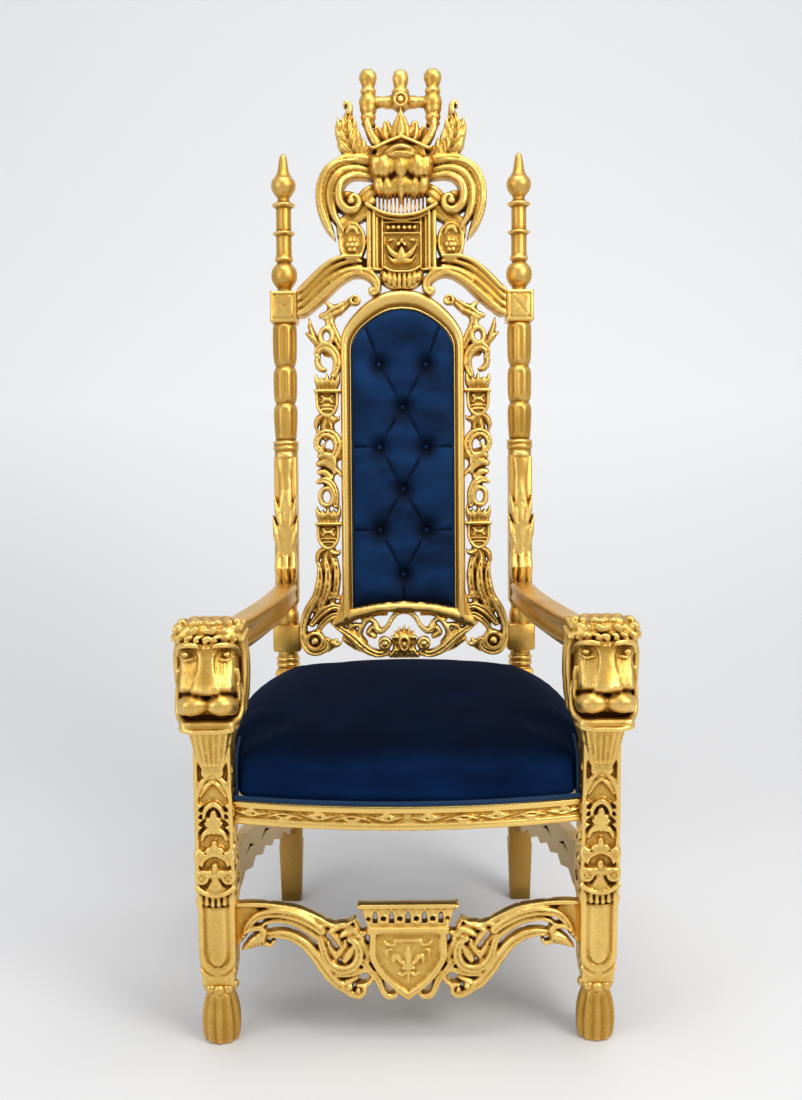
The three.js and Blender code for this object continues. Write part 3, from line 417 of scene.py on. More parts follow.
def field_shape(values, start, step, reach=8.0, passes=2, merge=0.3):
    """The surface where a field of distances is zero, with how sunk each point of it lies, which the materials paint as
    shade.
    """
    values = np.pad(values, 1, constant_values=float(step))
    start = np.asarray(start) - step
    grid = openvdb.FloatGrid(background=float(step) * 3)
    grid.copyFromArray(np.ascontiguousarray(values, dtype=np.float32))
    points, triangles, quads = grid.convertToPolygons(isovalue=0.0, adaptivity=merge)
    shape = Shape(points, quads, triangles).facing_out()
    points = relaxed(shape, passes)
    share = crowding(values, max(int(round(reach / step)), 1))
    normal = point_normals(points, shape)
    hollow = np.clip((read_between(share, points + 1.5 * normal) - 0.22) / 0.42, 0, 1)
    return Shape(points * step + start, shape.quads, shape.triangles, hollow)


def read_between(values, places):
    """Values on a grid of points, read at places between them."""
    places = np.clip(places, 0, np.array(values.shape) - 1.001)
    base = np.floor(places).astype(int)
    part = places - base
    total = np.zeros(len(places))
    for i in (0, 1):
        for j in (0, 1):
            for k in (0, 1):
                weight = np.abs(1 - i - part[:, 0]) * np.abs(1 - j - part[:, 1]) * np.abs(1 - k - part[:, 2])
                total += weight * values[base[:, 0] + i, base[:, 1] + j, base[:, 2] + k]
    return total


def point_normals(points, shape):
    normal = np.zeros_like(points)
    for faces in (shape.quads, shape.triangles):
        if len(faces):
            face = np.cross(points[faces[:, 2]] - points[faces[:, 0]], points[faces[:, -1]] - points[faces[:, 1]])
            for i in range(faces.shape[1]):
                for axis in range(3):
                    normal[:, axis] += np.bincount(faces[:, i], face[:, axis], len(points))
    return normal / np.maximum(np.linalg.norm(normal, axis=1, keepdims=True), 1e-9)


def relaxed(shape, passes):
    """Moves each point part of the way to the mean of its neighbours."""
    points = shape.points
    a = np.concatenate([shape.quads.ravel(), shape.triangles.ravel()])
    b = np.concatenate([np.roll(shape.quads, -1, axis=1).ravel(), np.roll(shape.triangles, -1, axis=1).ravel()])
    count = np.maximum(np.bincount(a, minlength=len(points)), 1)
    for _ in range(passes):
        mean = np.stack([np.bincount(a, points[b, axis], len(points)) / count for axis in range(3)], axis=1)
        points = points + 0.5 * (mean - points)
    return points


def tube(rings, hollow=0.3, loop=False):
    """A closed skin over rings of points. The ends are capped unless the rings run in a loop."""
    rings = np.asarray(rings, dtype=float)
    count, sides = rings.shape[:2]
    index = np.arange(count * sides).reshape(count, sides)
    upper = np.roll(index, -1, axis=0) if loop else index[1:]
    lower = index if loop else index[:-1]
    quads = np.stack([lower, np.roll(lower, -1, axis=1), np.roll(upper, -1, axis=1), upper], axis=2)
    points = rings.reshape(-1, 3)
    hollow = np.broadcast_to(hollow, (count, sides)).ravel()
    if loop:
        return Shape(points, quads, (), hollow).facing_out()
    points = np.vstack([points, rings[0].mean(0), rings[-1].mean(0)])
    hollow = np.append(hollow, [hollow[0], hollow[-1]])
    ends = [(count * sides, np.roll(index[0], -1), index[0]), (count * sides + 1, index[-1], np.roll(index[-1], -1))]
    triangles = np.vstack([np.stack([np.full(sides, tip), one, two], axis=1) for tip, one, two in ends])
    return Shape(points, quads, triangles, hollow).facing_out()


def lathe(x, y, levels, sides=40, steps=5, swell=None):
    """Turned work. levels: rows of height and radius. swell(angle, height) scales the radius."""
    height, radius = smooth_line(levels, steps).T
    radius = np.maximum(radius, 0.4)
    angle = (np.arange(sides) + 0.5) * 2 * math.pi / sides
    grow = np.ones((len(height), sides)) if swell is None else swell(angle[None, :], height[:, None])
    around = radius[:, None] * grow
    # How far each ring lies in below its neighbours, and the flutes' grooves: the gilding paints these darker as shade.
    even = np.arange(height[0] - 8, height[-1] + 9)
    mean = np.convolve(np.interp(even, height, radius), np.ones(15) / 15, mode="same")
    sunk = 0.3 + (np.interp(height, even, mean) - radius)[:, None] / 8 + (grow.max(1, keepdims=True) - grow) * 1.2
    rings = np.stack([x + around * np.cos(angle), y + around * np.sin(angle), height[:, None] + 0 * around], axis=2)
    return tube(rings, np.clip(sunk, 0, 1))


def tower(levels, corner=4.0, hollow=0.3):
    """A square-sectioned upright. levels: rows of height, middle x and y, and half width and depth."""
    turn = (np.arange(16) + 0.5) * math.pi / 8
    rings = []
    for height, x, y, half_x, half_y in levels:
        rings.append(np.stack([
            x + np.sign(np.cos(turn)) * (half_x - corner) + np.cos(turn) * corner,
            y + np.sign(np.sin(turn)) * (half_y - corner) + np.sin(turn) * corner,
            np.full(16, height),
        ], axis=1))
    return tube(rings, hollow)


def bevelled_box(low, high, bevel=3.0):
    x, y, z = (np.asarray(low) + np.asarray(high)) / 2
    half_x, half_y, half_z = (np.asarray(high) - np.asarray(low)) / 2
    edge = ((-half_z, bevel * 0.8), (-half_z + 0.35 * bevel, 0.3 * bevel), (-half_z + bevel, 0))
    edges = [*edge, *((-offset, inset) for offset, inset in reversed(edge))]
    return tower([(z + offset, x, y, half_x - inset, half_y - inset) for offset, inset in edges], bevel + 1)


def sweep(line, section, hollow=0.3, loop=False, up=(0, 0, 1)):
    """A section of (outwards, up) points carried along a line of places in space."""
    line = np.asarray(line, dtype=float)
    run = (np.roll(line, -1, axis=0) - np.roll(line, 1, axis=0)) if loop else np.gradient(line, axis=0)
    run /= np.linalg.norm(run, axis=1, keepdims=True)
    outwards = np.cross(run, np.broadcast_to(up, run.shape))
    outwards /= np.linalg.norm(outwards, axis=1, keepdims=True)
    above = np.cross(outwards, run)
    section = np.asarray(section, dtype=float)
    if section.ndim == 2:
        section = np.broadcast_to(section, (len(line), *section.shape))
    rings = line[:, None] + outwards[:, None] * section[:, :, :1] + above[:, None] * section[:, :, 1:]
    return tube(rings, hollow, loop)


def rope(line, radius, pitch, strands=3, sides=18, loop=False, up=(0, 0, 1)):
    """A twisted cord along a line of places in space."""
    line = np.asarray(line, dtype=float)
    gone = np.concatenate([[0], np.cumsum(np.linalg.norm(np.diff(line, axis=0), axis=1))])
    steps = max(int(gone[-1] / (radius * 0.55)), 8)
    marks = np.linspace(0, gone[-1], steps, endpoint=not loop)
    line = np.stack([np.interp(marks, gone, line[:, axis]) for axis in range(3)], axis=1)
    turns = round(gone[-1] / pitch)
    angle = np.arange(sides) * 2 * math.pi / sides
    wave = np.abs(np.cos(strands * (angle[None, :] - 2 * math.pi * turns * marks[:, None] / gone[-1] / 1.0) / 2))
    around = radius * (0.74 + 0.26 * wave)
    section = np.stack([around * np.cos(angle), around * np.sin(angle)], axis=2)
    return sweep(line, section, np.clip(0.9 - wave, 0, 1), loop, up)


def eased(a, b, width):
    """The lower of two distances, with a rounded join of a given width."""
    if width <= 0:
        return np.minimum(a, b)
    share = np.clip(0.5 + 0.5 * (b - a) / width, 0, 1)
    return b * (1 - share) + a * share - width * share * (1 - share)


class Block:
    """A free form on a grid of points: lumps and strands joined smoothly, or cut away."""

    def __init__(self, low, high, step):
        self.step = step
        self.start = np.asarray(low, dtype=float)
        count = np.ceil((np.asarray(high) - low) / step).astype(int) + 1
        self.axes = [self.start[axis] + step * np.arange(count[axis]) for axis in range(3)]
        self.values = np.full(count, 20.0, dtype=np.float32)

    def window(self, low, high):
        spans = [slice(*np.searchsorted(axis, [a, b])) for axis, a, b in zip(self.axes, low, high)]
        x, y, z = (axis[span] for axis, span in zip(self.axes, spans))
        return tuple(spans), x[:, None, None], y[None, :, None], z[None, None, :]

    def put(self, part, distance, blend, cut):
        if cut:
            self.values[part] = -eased(-self.values[part], distance, blend)
        else:
            self.values[part] = eased(self.values[part], distance, blend)

    def lump(self, middle, radii, blend=3.0, cut=False, tilt=0.0):
        """An egg. tilt turns it in the front view."""
        reach = max(radii) + 6
        part, x, y, z = self.window(np.asarray(middle) - reach, np.asarray(middle) + reach)
        x, y, z = x - middle[0], y - middle[1], z - middle[2]
        x, z = x * math.cos(tilt) + z * math.sin(tilt), z * math.cos(tilt) - x * math.sin(tilt)
        near = np.sqrt((x / radii[0]) ** 2 + (y / radii[1]) ** 2 + (z / radii[2]) ** 2)
        steep = np.sqrt((x / radii[0] ** 2) ** 2 + (y / radii[1] ** 2) ** 2 + (z / radii[2] ** 2) ** 2)
        self.put(part, near * (near - 1) / np.maximum(steep, 1e-6), blend, cut)

    def box(self, low, high, corner=4.0, blend=3.0, cut=False):
        low = np.asarray(low, dtype=float)
        high = np.asarray(high, dtype=float)
        part, *places = self.window(low - 10, high + 10)
        over = [np.abs(place - (a + b) / 2) - (b - a) / 2 + corner for place, a, b in zip(places, low, high)]
        outside = np.sqrt(sum(np.maximum(value, 0) ** 2 for value in over))
        inside = np.minimum(np.maximum(np.maximum(over[0], over[1]), over[2]), 0)
        self.put(part, outside + inside - corner, blend, cut)

    def strand(self, points, blend=2.0, cut=False, steps=4):
        """A round strand through rows of x, y, z and radius."""
        line = smooth_line(points, steps)
        reach = line[:, 3].max() + 6
        part, x, y, z = self.window(line[:, :3].min(0) - reach, line[:, :3].max(0) + reach)
        nearest = np.full(np.broadcast_shapes(x.shape, y.shape, z.shape), 40.0)
        for a, b in zip(line[:-1], line[1:]):
            run = b[:3] - a[:3]
            size = max((run ** 2).sum(), 1e-9)
            share = np.clip(((x - a[0]) * run[0] + (y - a[1]) * run[1] + (z - a[2]) * run[2]) / size, 0, 1)
            apart = (x - a[0] - share * run[0]) ** 2 + (y - a[1] - share * run[1]) ** 2 + (z - a[2] - share * run[2]) ** 2
            nearest = np.minimum(nearest, np.sqrt(apart) - a[3] - share * (b[3] - a[3]))
        self.put(part, nearest, blend, cut)

    def shape(self, **options):
        return field_shape(self.values, self.start, self.step, **options)


# Materials

def node_tools(material):
    tree = material.node_tree
    nodes = tree.nodes
    links = tree.links

    def make(kind, **inputs):
        node = nodes.new(kind)
        for key, value in inputs.items():
            socket = node.inputs[key.replace("_", " ")]
            if isinstance(value, bpy.types.NodeSocket):
                links.new(value, socket)
            else:
                socket.default_value = value
        return node

    return nodes, links, make


def ramp(make, factor, stops):
    node = make("ShaderNodeValToRGB", Fac=factor)
    elements = node.color_ramp.elements
    while len(elements) < len(stops):
        elements.new(0.5)
    for element, (position, color) in zip(elements, stops):
        element.position = position
        element.color = (*color, 1)
    return node.outputs["Color"]


def noise(make, scale, detail=4.0, vector=None, roughness=0.5):
    node = make("ShaderNodeTexNoise", Scale=scale, Detail=detail, Roughness=roughness)
    if vector is not None:
        node.id_data.links.new(vector, node.inputs["Vector"])
    return node.outputs["Fac"]


def mixed(make, kind, factor, first, second):
    node = make("ShaderNodeMix")
    node.data_type = "RGBA"
    node.blend_type = kind
    links = node.id_data.links
    for socket, value in ((node.inputs[0], factor), (node.inputs[6], first), (node.inputs[7], second)):
        if isinstance(value, bpy.types.NodeSocket):
            links.new(value, socket)
        else:
            socket.default_value = value
    return node.outputs[2]


def calculated(make, operation, a, b=0.0, clamp=False):
    node = make("ShaderNodeMath")
    node.operation = operation
    node.use_clamp = clamp
    for socket, value in zip(node.inputs, (a, b)):
        if isinstance(value, bpy.types.NodeSocket):
            node.id_data.links.new(value, socket)
        else:
            socket.default_value = value
    return node.outputs[0]


def gilding(name, recess, body, light, roughness, hollows=True, grain=0.35):
    """Antiqued gilding: dark in the hollows, partly the toning of old gilding and partly painted shade, bright where
    hands and cloth have rubbed the ridges.
    """
    material = bpy.data.materials.new(name)
    material.use_nodes = True
    nodes, links, make = node_tools(material)
    shader = nodes["Principled BSDF"]
    place = make("ShaderNodeTexCoord").outputs["Object"]
    patches = noise(make, 9.0, 3.0, place)
    specks = noise(make, 260.0, 2.0, place, 0.6)
    # The hollow attribute darkens the colour in enclosed places: painted shade, with some toning of the gilding.
    if hollows:
        sunk = make("ShaderNodeAttribute")
        sunk.attribute_name = "hollow"
        depth = sunk.outputs["Fac"]
    else:
        # Without the attribute, concave places found by Pointiness are darkened instead, also as painted shade.
        bend = make("ShaderNodeNewGeometry").outputs["Pointiness"]
        depth = calculated(make, "MULTIPLY_ADD", bend, -6.0, True)
        depth.node.inputs[2].default_value = 3.45
    varied = calculated(make, "ADD", depth, calculated(make, "MULTIPLY", calculated(make, "SUBTRACT", patches, 0.5), 0.35))
    varied = calculated(make, "ADD", varied, calculated(make, "MULTIPLY", calculated(make, "SUBTRACT", specks, 0.5), 0.3))
    color = ramp(make, varied, [(0.0, light), (0.38, body), (0.62, tuple(0.6 * b + 0.4 * r for b, r in zip(body, recess))),
                                (0.95, recess)])
    links.new(color, shader.inputs["Base Color"])
    shader.inputs["Metallic"].default_value = 0.92
    rough = calculated(make, "MULTIPLY_ADD", varied, 0.28)
    rough.node.inputs[2].default_value = roughness
    links.new(rough, shader.inputs["Roughness"])
    fine = noise(make, 420.0, 3.0, place, 0.6)
    broad = noise(make, 70.0, 3.0, place, 0.55)
    height = calculated(make, "ADD", calculated(make, "MULTIPLY", fine, 0.35), broad)
    bump = make("ShaderNodeBump", Strength=grain, Distance=0.0012, Height=height)
    links.new(bump.outputs["Normal"], shader.inputs["Normal"])
    return material


def velvet_cloth(name, dark, lit, specular=0.1, sheen=0.09, crown=1.0):
    """Deep blue velvet with a nap that has been brushed both ways, its brushed patches painted as lit and dark tones.
    The hollow attribute paints shade into tufts and creases, and where it faces up, crown darkens it as painted shade.
    """
    material = bpy.data.materials.new(name)
    material.use_nodes = True
    nodes, links, make = node_tools(material)
    shader = nodes["Principled BSDF"]
    place = make("ShaderNodeTexCoord").outputs["Object"]
    stretched = make("ShaderNodeMapping", Vector=place)
    stretched.inputs["Scale"].default_value = (1.0, 1.0, 2.2)
    brushed = noise(make, 7.0, 3.0, stretched.outputs["Vector"], 0.55)
    fibres = noise(make, 900.0, 2.0, place, 0.7)
    factor = calculated(make, "ADD", brushed, calculated(make, "MULTIPLY", calculated(make, "SUBTRACT", fibres, 0.5), 0.5))
    sunk = make("ShaderNodeAttribute")
    sunk.attribute_name = "hollow"
    # Noise mixes a lit and a dark tone of the cloth: painted sheen and shade for the nap's brushed patches.
    cloth = ramp(make, factor, [(0.3, dark), (0.72, lit)])
    # Painted shade in the tufts, pleats and lower edge, read from the hollow attribute.
    shade = ramp(make, sunk.outputs["Fac"], [(0.4, (1, 1, 1)), (1.0, (0.06, 0.06, 0.08))])
    # Painted shade on faces that look upwards, as strong as crown says.
    facing = make("ShaderNodeSeparateXYZ")
    links.new(make("ShaderNodeNewGeometry").outputs["Normal"], facing.inputs[0])
    top_shade = ramp(make, facing.outputs["Z"], [(0.3, (1, 1, 1)), (0.9, (crown, crown, crown))])
    shade = mixed(make, "MULTIPLY", 1.0, shade, top_shade)
    links.new(mixed(make, "MULTIPLY", 1.0, cloth, shade), shader.inputs["Base Color"])
    shader.inputs["Roughness"].default_value = 0.8
    shader.inputs["Specular IOR Level"].default_value = specular
    shader.inputs["Sheen Weight"].default_value = sheen
    shader.inputs["Sheen Roughness"].default_value = 0.4
    shader.inputs["Sheen Tint"].default_value = (0.08, 0.25, 0.8, 1)
    bump = make("ShaderNodeBump", Strength=0.25, Distance=0.0006, Height=fibres)
    links.new(bump.outputs["Normal"], shader.inputs["Normal"])
    return material


def woven_braid(name):
    material = bpy.data.materials.new(name)
    material.use_nodes = True
    nodes, links, make = node_tools(material)
    shader = nodes["Principled BSDF"]
    place = make("ShaderNodeTexCoord").outputs["Object"]
    threads = noise(make, 700.0, 2.0, place, 0.6)
    links.new(ramp(make, threads, [(0.3, (0.002, 0.01, 0.03)), (0.7, (0.012, 0.05, 0.12))]), shader.inputs["Base Color"])
    shader.inputs["Roughness"].default_value = 0.6
    shader.inputs["Specular IOR Level"].default_value = 0.12
    shader.inputs["Sheen Weight"].default_value = 0.05
    bump = make("ShaderNodeBump", Strength=0.4, Distance=0.0006, Height=threads)
    links.new(bump.outputs["Normal"], shader.inputs["Normal"])
    return material


GOLD = gilding("gilded_carving", (0.09, 0.032, 0.003), (0.55, 0.30, 0.05), (0.92, 0.63, 0.19), 0.3)
AGED_GOLD = gilding("gilded_leg", (0.10, 0.04, 0.006), (0.42, 0.23, 0.045), (0.62, 0.4, 0.12), 0.36)
BRONZE = gilding("bronzed_board", (0.09, 0.035, 0.006), (0.42, 0.24, 0.06), (0.6, 0.4, 0.14), 0.36, hollows=False)
VELVET = velvet_cloth("blue_velvet", (0.0015, 0.008, 0.028), (0.0045, 0.032, 0.108))
# The seat's cloth: its upward faces painted darker as shade, down to 0.3.
SEAT_VELVET = velvet_cloth("seat_velvet", (0.0009, 0.0065, 0.027), (0.002, 0.016, 0.066), 0.04, 0.04, 0.3)
BRAID = woven_braid("blue_braid")


# Crest

CREST_REAR = 30.0


def crest_posts(panel):
    """The turned posts that carry the knobs, with the bar between them."""
    side = [
        (1711, 8), (1714, 13), (1719, 16), (1724, 13), (1728, 16), (1734, 18), (1739, 15), (1744, 18), (1750, 20),
        (1755, 18), (1760, 21), (1768, 22), (1776, 18), (1781, 14.5), (1786, 17.5), (1790, 18.5), (1794, 15), (1797, 13.5),
        (1802, 15), (1808, 18.5), (1818, 20.5), (1828, 18.5), (1834, 14), (1837, 8), (1838.5, 1),
    ]
    centre = [
        (1745, 12), (1753, 19), (1765, 23), (1777, 20), (1784, 19), (1788, 20), (1792, 16.5), (1796, 14), (1802, 15.5),
        (1808, 18.5), (1817, 19), (1827, 16.5), (1833, 11), (1835.5, 1),
    ]
    panel.turning(70, side, 8.0)
    panel.turning(0, centre, 8.0)
    for x0, x1, half in ((16, 30, 13), (28, 46, 10), (44, 60, 11.5)):
        panel.stroke([(x0, 1766, half), ((x0 + x1) / 2, 1766, half), (x1, 1766, half)], 8 - half, half, rear=8 + half)
    for x, half in ((30, 14.5), (45, 13), (54, 14.5)):
        panel.stroke([(x - 1, 1766, 2.4), (x, 1766, 2.4), (x + 1, 1766, 2.4)], 8 - half, 3, rear=8 + half)
        panel.stroke([(x, 1766 - half + 2, 3), (x, 1766 + half - 2, 3)], [6, 8 - half, 6], 3, rear=[10, 8 + half, 10])
    panel.ring(0, 1765, (13, 13), 3.2, -19, 4, rear=20)
    panel.boss(0, 1765, (8, 8), -22, 7, rear=20)


def crest_fan(panel):
    """The fan of leaves between the posts' struts."""
    panel.stroke([(73, 1720, 8), (66, 1696, 9), (47, 1666, 10)], -14, 9, rear=24)
    panel.stroke([(0, 1676, 22), (0, 1710, 19), (0, 1730, 11), (0, 1747, 1.5)], -16, 12, rear=24)
    for side in (-1, 1):
        panel.engrave([(side * 10, 1684, 1.8), (side * 9, 1708, 1.8), (side * 2, 1732, 1.2)], 4)
    for x, lean, top, half, front in ((28, 7, 1716, 12.5, -8), (48, 9, 1708, 10, -3)):
        panel.stroke([(x - lean, 1672, half * 0.8), (x, 1698, half), (x + lean * 0.4, top, half * 0.72)],
                     front, 10, rear=22)
        panel.engrave([(x - lean, 1676, 2.4), (x, 1698, 2.8), (x + lean * 0.4, top, 1.8)], 6)
    panel.slab([(0, 1682), (-54, 1664), (-46, 1640), (46, 1640), (54, 1664)], -8, rear=CREST_REAR)
    panel.stroke([(0, 1685, 4.5), (28, 1674, 4.5), (57, 1661, 4.5), (66, 1663, 2)], -24, 8, rear=20)


def crest_petals(panel):
    """The brow's berry and the two rows of petals that hang under it."""
    panel.slab([(0, 1674), (-50, 1662), (-62, 1625), (-56, 1582), (-34, 1568), (34, 1568), (56, 1582), (62, 1625),
                (50, 1662)], -19, rear=CREST_REAR)
    lobes = [(14, 1581, 11, 19, -29, 0.1), (30, 1579, 12, 20, -31, -0.1), (47, 1582, 13, 20, -31, -0.25),
             (22, 1622, 11, 19, -37, 0.1), (37, 1620, 14, 24, -41, 0.05), (53, 1620, 12, 22, -38, -0.2)]
    for x, z, half, tall, front, turn in lobes:
        panel.boss(x, z, (half, tall), front, 12, rear=CREST_REAR - 6, turn=turn, power=2.3)
    for points, front in (([(0, 1608, 14), (0, 1586, 16), (0, 1568, 10), (0, 1550, 2)], -33),
                          ([(0, 1644, 14), (0, 1622, 17), (0, 1606, 12), (0, 1590, 2)], -43)):
        panel.stroke(points, [front + 5, front, front + 4, front + 10], 10, section=ribbed, rear=CREST_REAR - 6)
    for x, low, high in ((41, 1607, 1634), (29, 1608, 1634), (53, 1606, 1632), (22, 1574, 1598), (38, 1572, 1598),
                         (50, 1574, 1600)):
        panel.engrave([(x, high, 1.0), (x + 2, low, 1.2)], 2.2)
    panel.boss(0, 1645, (36, 14.5), -44, 20, rear=CREST_REAR)
    panel.stroke([(-35, 1650, 2.5), (-18, 1656, 4.5), (0, 1658, 5), (18, 1656, 4.5), (35, 1650, 2.5)],
                 [-28, -42, -47, -42, -28], 5, rear=0)
    panel.engrave([(-33, 1646, 1.3), (0, 1650.5, 1.5), (33, 1646, 1.3)], 4)
    panel.engrave([(-30, 1640, 1.1), (0, 1642, 1.2), (30, 1640, 1.1)], 1.6)


def crest_grille(panel):
    """Thin upright bars in the crescent opening under the petals."""
    bars = 6
    for i in range(bars + 1):
        x = 4.5 + 8.6 * i
        panel.stroke([(x, 1580, 2.3), (x, 1512, 2.3)], 8, 2, rear=20)


def crest_shield(panel):
    """The fluted shield with its beads, its lotus and its scalloped foot."""
    panel.slab([(-76, 1532), (-76, 1403), (-46, 1400), (-44, 1376), (-30, 1364), (0, 1358), (30, 1364), (44, 1376),
                (46, 1400), (76, 1403), (76, 1532), (40, 1520), (0, 1513), (-40, 1520)], -4, rear=CREST_REAR)
    panel.stroke([(0, 1517, 4.5), (34, 1522, 4.5), (58, 1532, 4.5), (76, 1542, 5)], -22, 9, rear=10)
    panel.stroke([(0, 1508, 2.6), (34, 1513, 2.6), (58, 1523, 2.6)], -15, 5, rear=10)
    for x, half, front in ((70.5, 5.5, -15), (60, 3.5, -17), (52, 2.5, -12)):
        panel.stroke([(x, 1526, half), (x, 1404, half)], front, 5, rear=10)
    panel.stroke([(42, 1515, 1.8), (42, 1404, 1.8)], -10, 3, rear=10)
    panel.stroke([(76, 1404, 3), (46, 1402, 3)], -16, 5, rear=10)
    beads = 3
    for i in range(beads):
        x = 6 + 11.5 * i
        panel.boss(x, 1493, (5.4, 5.8), -15, 8, rear=10)
    for z in (1504, 1481):
        panel.stroke([(-37, z, 2.2), (37, z, 2.2)], -11, 4, rear=10)
    panel.boss(0, 1465, (5.5, 6), -16, 8, rear=10)
    panel.boss(7.5, 1457, (5.5, 5), -15, 8, rear=10)
    panel.boss(24, 1466, (8, 3.6), -12, 6, rear=10, turn=-0.2)
    panel.stroke([(0, 1428, 8), (0, 1440, 8.5), (0, 1452, 1)], -18, 9, rear=10)
    panel.stroke([(3, 1426, 5), (15, 1434, 7), (25, 1445, 5.5), (33, 1457, 1)], -15, 8, rear=10)
    panel.stroke([(2, 1422, 6), (18, 1421, 5), (30, 1432, 1)], -14, 7, rear=10)
    panel.stroke([(-38, 1408, 3), (-22, 1400, 3), (0, 1398, 3), (22, 1400, 3), (38, 1408, 3)], -15, 6, rear=10)
    flutes = 4
    for i in range(flutes):
        x = 5.4 + 10.8 * i
        low = 1366 + 0.012 * x * x
        panel.stroke([(x, 1396, 5), (x, 1382, 5.2), (x, low, 5)], [-10, -15, -13], 5, rear=CREST_REAR)
    panel.stroke([(0, 1362, 4), (24, 1366, 4), (42, 1380, 3.5), (45, 1398, 3)], -8, 5, rear=CREST_REAR)


def crest_wing(panel):
    """The great reeded strand that sweeps out and down from the petals, with its inner curl."""
    reeds = [
        [(58, 1628, 7), (98, 1638, 9), (134, 1633, 11), (160, 1613, 12.5), (173, 1580, 13), (173, 1546, 12.5),
         (165, 1514, 11), (155, 1490, 8), (144, 1470, 2)],
        [(58, 1613, 7), (98, 1621, 8.5), (126, 1615, 9.5), (144, 1598, 10), (153, 1574, 10.5), (152, 1546, 10.5),
         (145, 1520, 9), (134, 1500, 6), (124, 1484, 1.5)],
        [(58, 1602, 6.5), (98, 1607, 7.5), (118, 1600, 8.5), (131, 1586, 9), (136, 1566, 9.5), (132, 1545, 10),
         (118, 1531, 10), (103, 1530, 9), (93, 1540, 8), (93, 1554, 7), (103, 1561, 6), (112, 1556, 4)],
    ]
    for points, deepest in zip(reeds, (-18, -22, -27)):
        panel.stroke(points, [-10, -14, deepest, deepest, deepest + 1, deepest + 4], 10, rear=28)
    for shift, depth in ((-4.5, 3), (4, 3)):
        panel.engrave([(98, 1638 + shift, 1.1), (135 + shift * 0.4, 1633 + shift, 1.2), (161 + shift, 1614 + shift, 1.3),
                       (174 + shift, 1580, 1.3), (174 + shift, 1546, 1.3), (166 + shift, 1516, 1.3), (154 + shift, 1490, 1)],
                      depth)
    panel.boss(116, 1549, (30, 25), -8, 6, rear=24)
    panel.boss(108, 1548, (9, 8.5), -29, 9, rear=24)
    panel.stroke([(112, 1520, 7), (126, 1510, 8), (134, 1494, 7), (138, 1476, 2)], [-12, -16, -12], 7, rear=24)
    for points, front in (
            ([(56, 1572, 7), (72, 1560, 9), (90, 1540, 10), (104, 1518, 6)], -14),
            ([(56, 1584, 6), (72, 1576, 8), (84, 1566, 8), (92, 1556, 4)], -11),
            ([(60, 1552, 6), (78, 1536, 9), (92, 1520, 7), (106, 1506, 1)], -16),
            ([(78, 1520, 7), (94, 1512, 8), (114, 1506, 7), (132, 1498, 1)], -14)):
        panel.stroke(points, front, 7, section=ribbed, rear=24)


def crest_acanthus(panel):
    """The upright acanthus leaf on each shoulder of the crest."""
    panel.stroke([(92, 1638, 17), (107, 1660, 25), (116, 1688, 25), (118, 1714, 19), (113, 1736, 10), (110, 1750, 7),
                  (114, 1761, 3)], [-6, -13, -16, -15, -11, -8], 12, section=veined(6, 1.6), rear=24, lobes=6, cut=0.22,
                 skew=1.6)
    for points in ([(112, 1652, 9), (128, 1668, 8), (137, 1686, 1)], [(118, 1674, 9), (134, 1692, 8), (142, 1714, 1)],
                   [(120, 1698, 8), (133, 1712, 7), (137, 1732, 1)], [(94, 1668, 8), (92, 1690, 7), (96, 1710, 1)],
                   [(86, 1652, 8), (80, 1670, 7), (80, 1688, 1)], [(104, 1700, 8), (100, 1716, 6), (103, 1732, 1)]):
        panel.stroke(points, [-10, -14, -8], 8, section=ribbed, rear=22)
    panel.stroke([(111, 1742, 7), (110, 1755, 6.5), (118, 1762, 5), (122, 1755, 3)], -13, 6, rear=20)
    for x, top in ((66, 1668), (76, 1674), (86, 1672)):
        panel.stroke([(x - 3, 1640, 8), (x, 1655, 8), (x + 4, top, 2)], -9, 8, section=reeded(3), rear=24)
    panel.stroke([(58, 1638, 8), (90, 1644, 8), (124, 1645, 7), (140, 1640, 2)], -12, 8, rear=26)


def crest_rosette(panel):
    """The oval rosette on each side of the shield."""
    panel.boss(107, 1463, (30, 43), -11, 6, rear=CREST_REAR)
    panel.ring(107, 1463, (26, 39), 4.8, -14, 8, rear=20)
    panel.boss(107, 1457, (17, 24), -11, 7, rear=20)
    petals = 6
    for i in range(petals):
        angle = 2 * math.pi * i / petals
        panel.boss(107 + 10 * math.cos(angle), 1455 + 12 * math.sin(angle), (6, 6), -17, 7, rear=10)
    panel.boss(107, 1455, (6, 6), -20, 7, rear=10)
    panel.stroke([(94, 1478, 3), (100, 1490, 5), (112, 1492, 6), (119, 1482, 4)], -16, 7, rear=10)
    panel.stroke([(112, 1424, 7), (102, 1414, 7), (92, 1405, 2)], -8, 7, rear=24)


def crest_rail(panel):
    """The moulded rail that climbs from the post, and the hook under it."""
    upper = smooth_line([(234, 1360), (215, 1371), (196, 1391), (174, 1413), (150, 1430), (122, 1437), (88, 1436)])
    lower = smooth_line([(234, 1299), (216, 1302), (197, 1316), (174, 1337), (148, 1360), (120, 1380), (90, 1392)])
    reeds = [(0.9, 0.095, -16), (0.67, 0.115, -13), (0.415, 0.115, -14), (0.14, 0.14, -18)]
    span = np.hypot(*(upper - lower).T)
    for share, width, front in reeds:
        middle = lower + (upper - lower) * share
        panel.stroke(np.column_stack([middle, span * width])[::4], front, span.mean() * width * 1.3, rear=CREST_REAR,
                     steps=4)
    body = (upper + lower) / 2
    panel.stroke(np.column_stack([body, span * 0.42])[::4], 0, 4, rear=CREST_REAR, steps=4)
    panel.stroke([(150, 1378, 8), (126, 1393, 10), (100, 1399, 11), (76, 1395, 11.5), (58, 1381, 11), (53, 1363, 9),
                  (60, 1352, 7)], [-15, -17, -18, -18], 8, section=reeded(2), rear=CREST_REAR)
    panel.boss(66, 1358, (8.5, 8.5), -18, 8, rear=CREST_REAR)


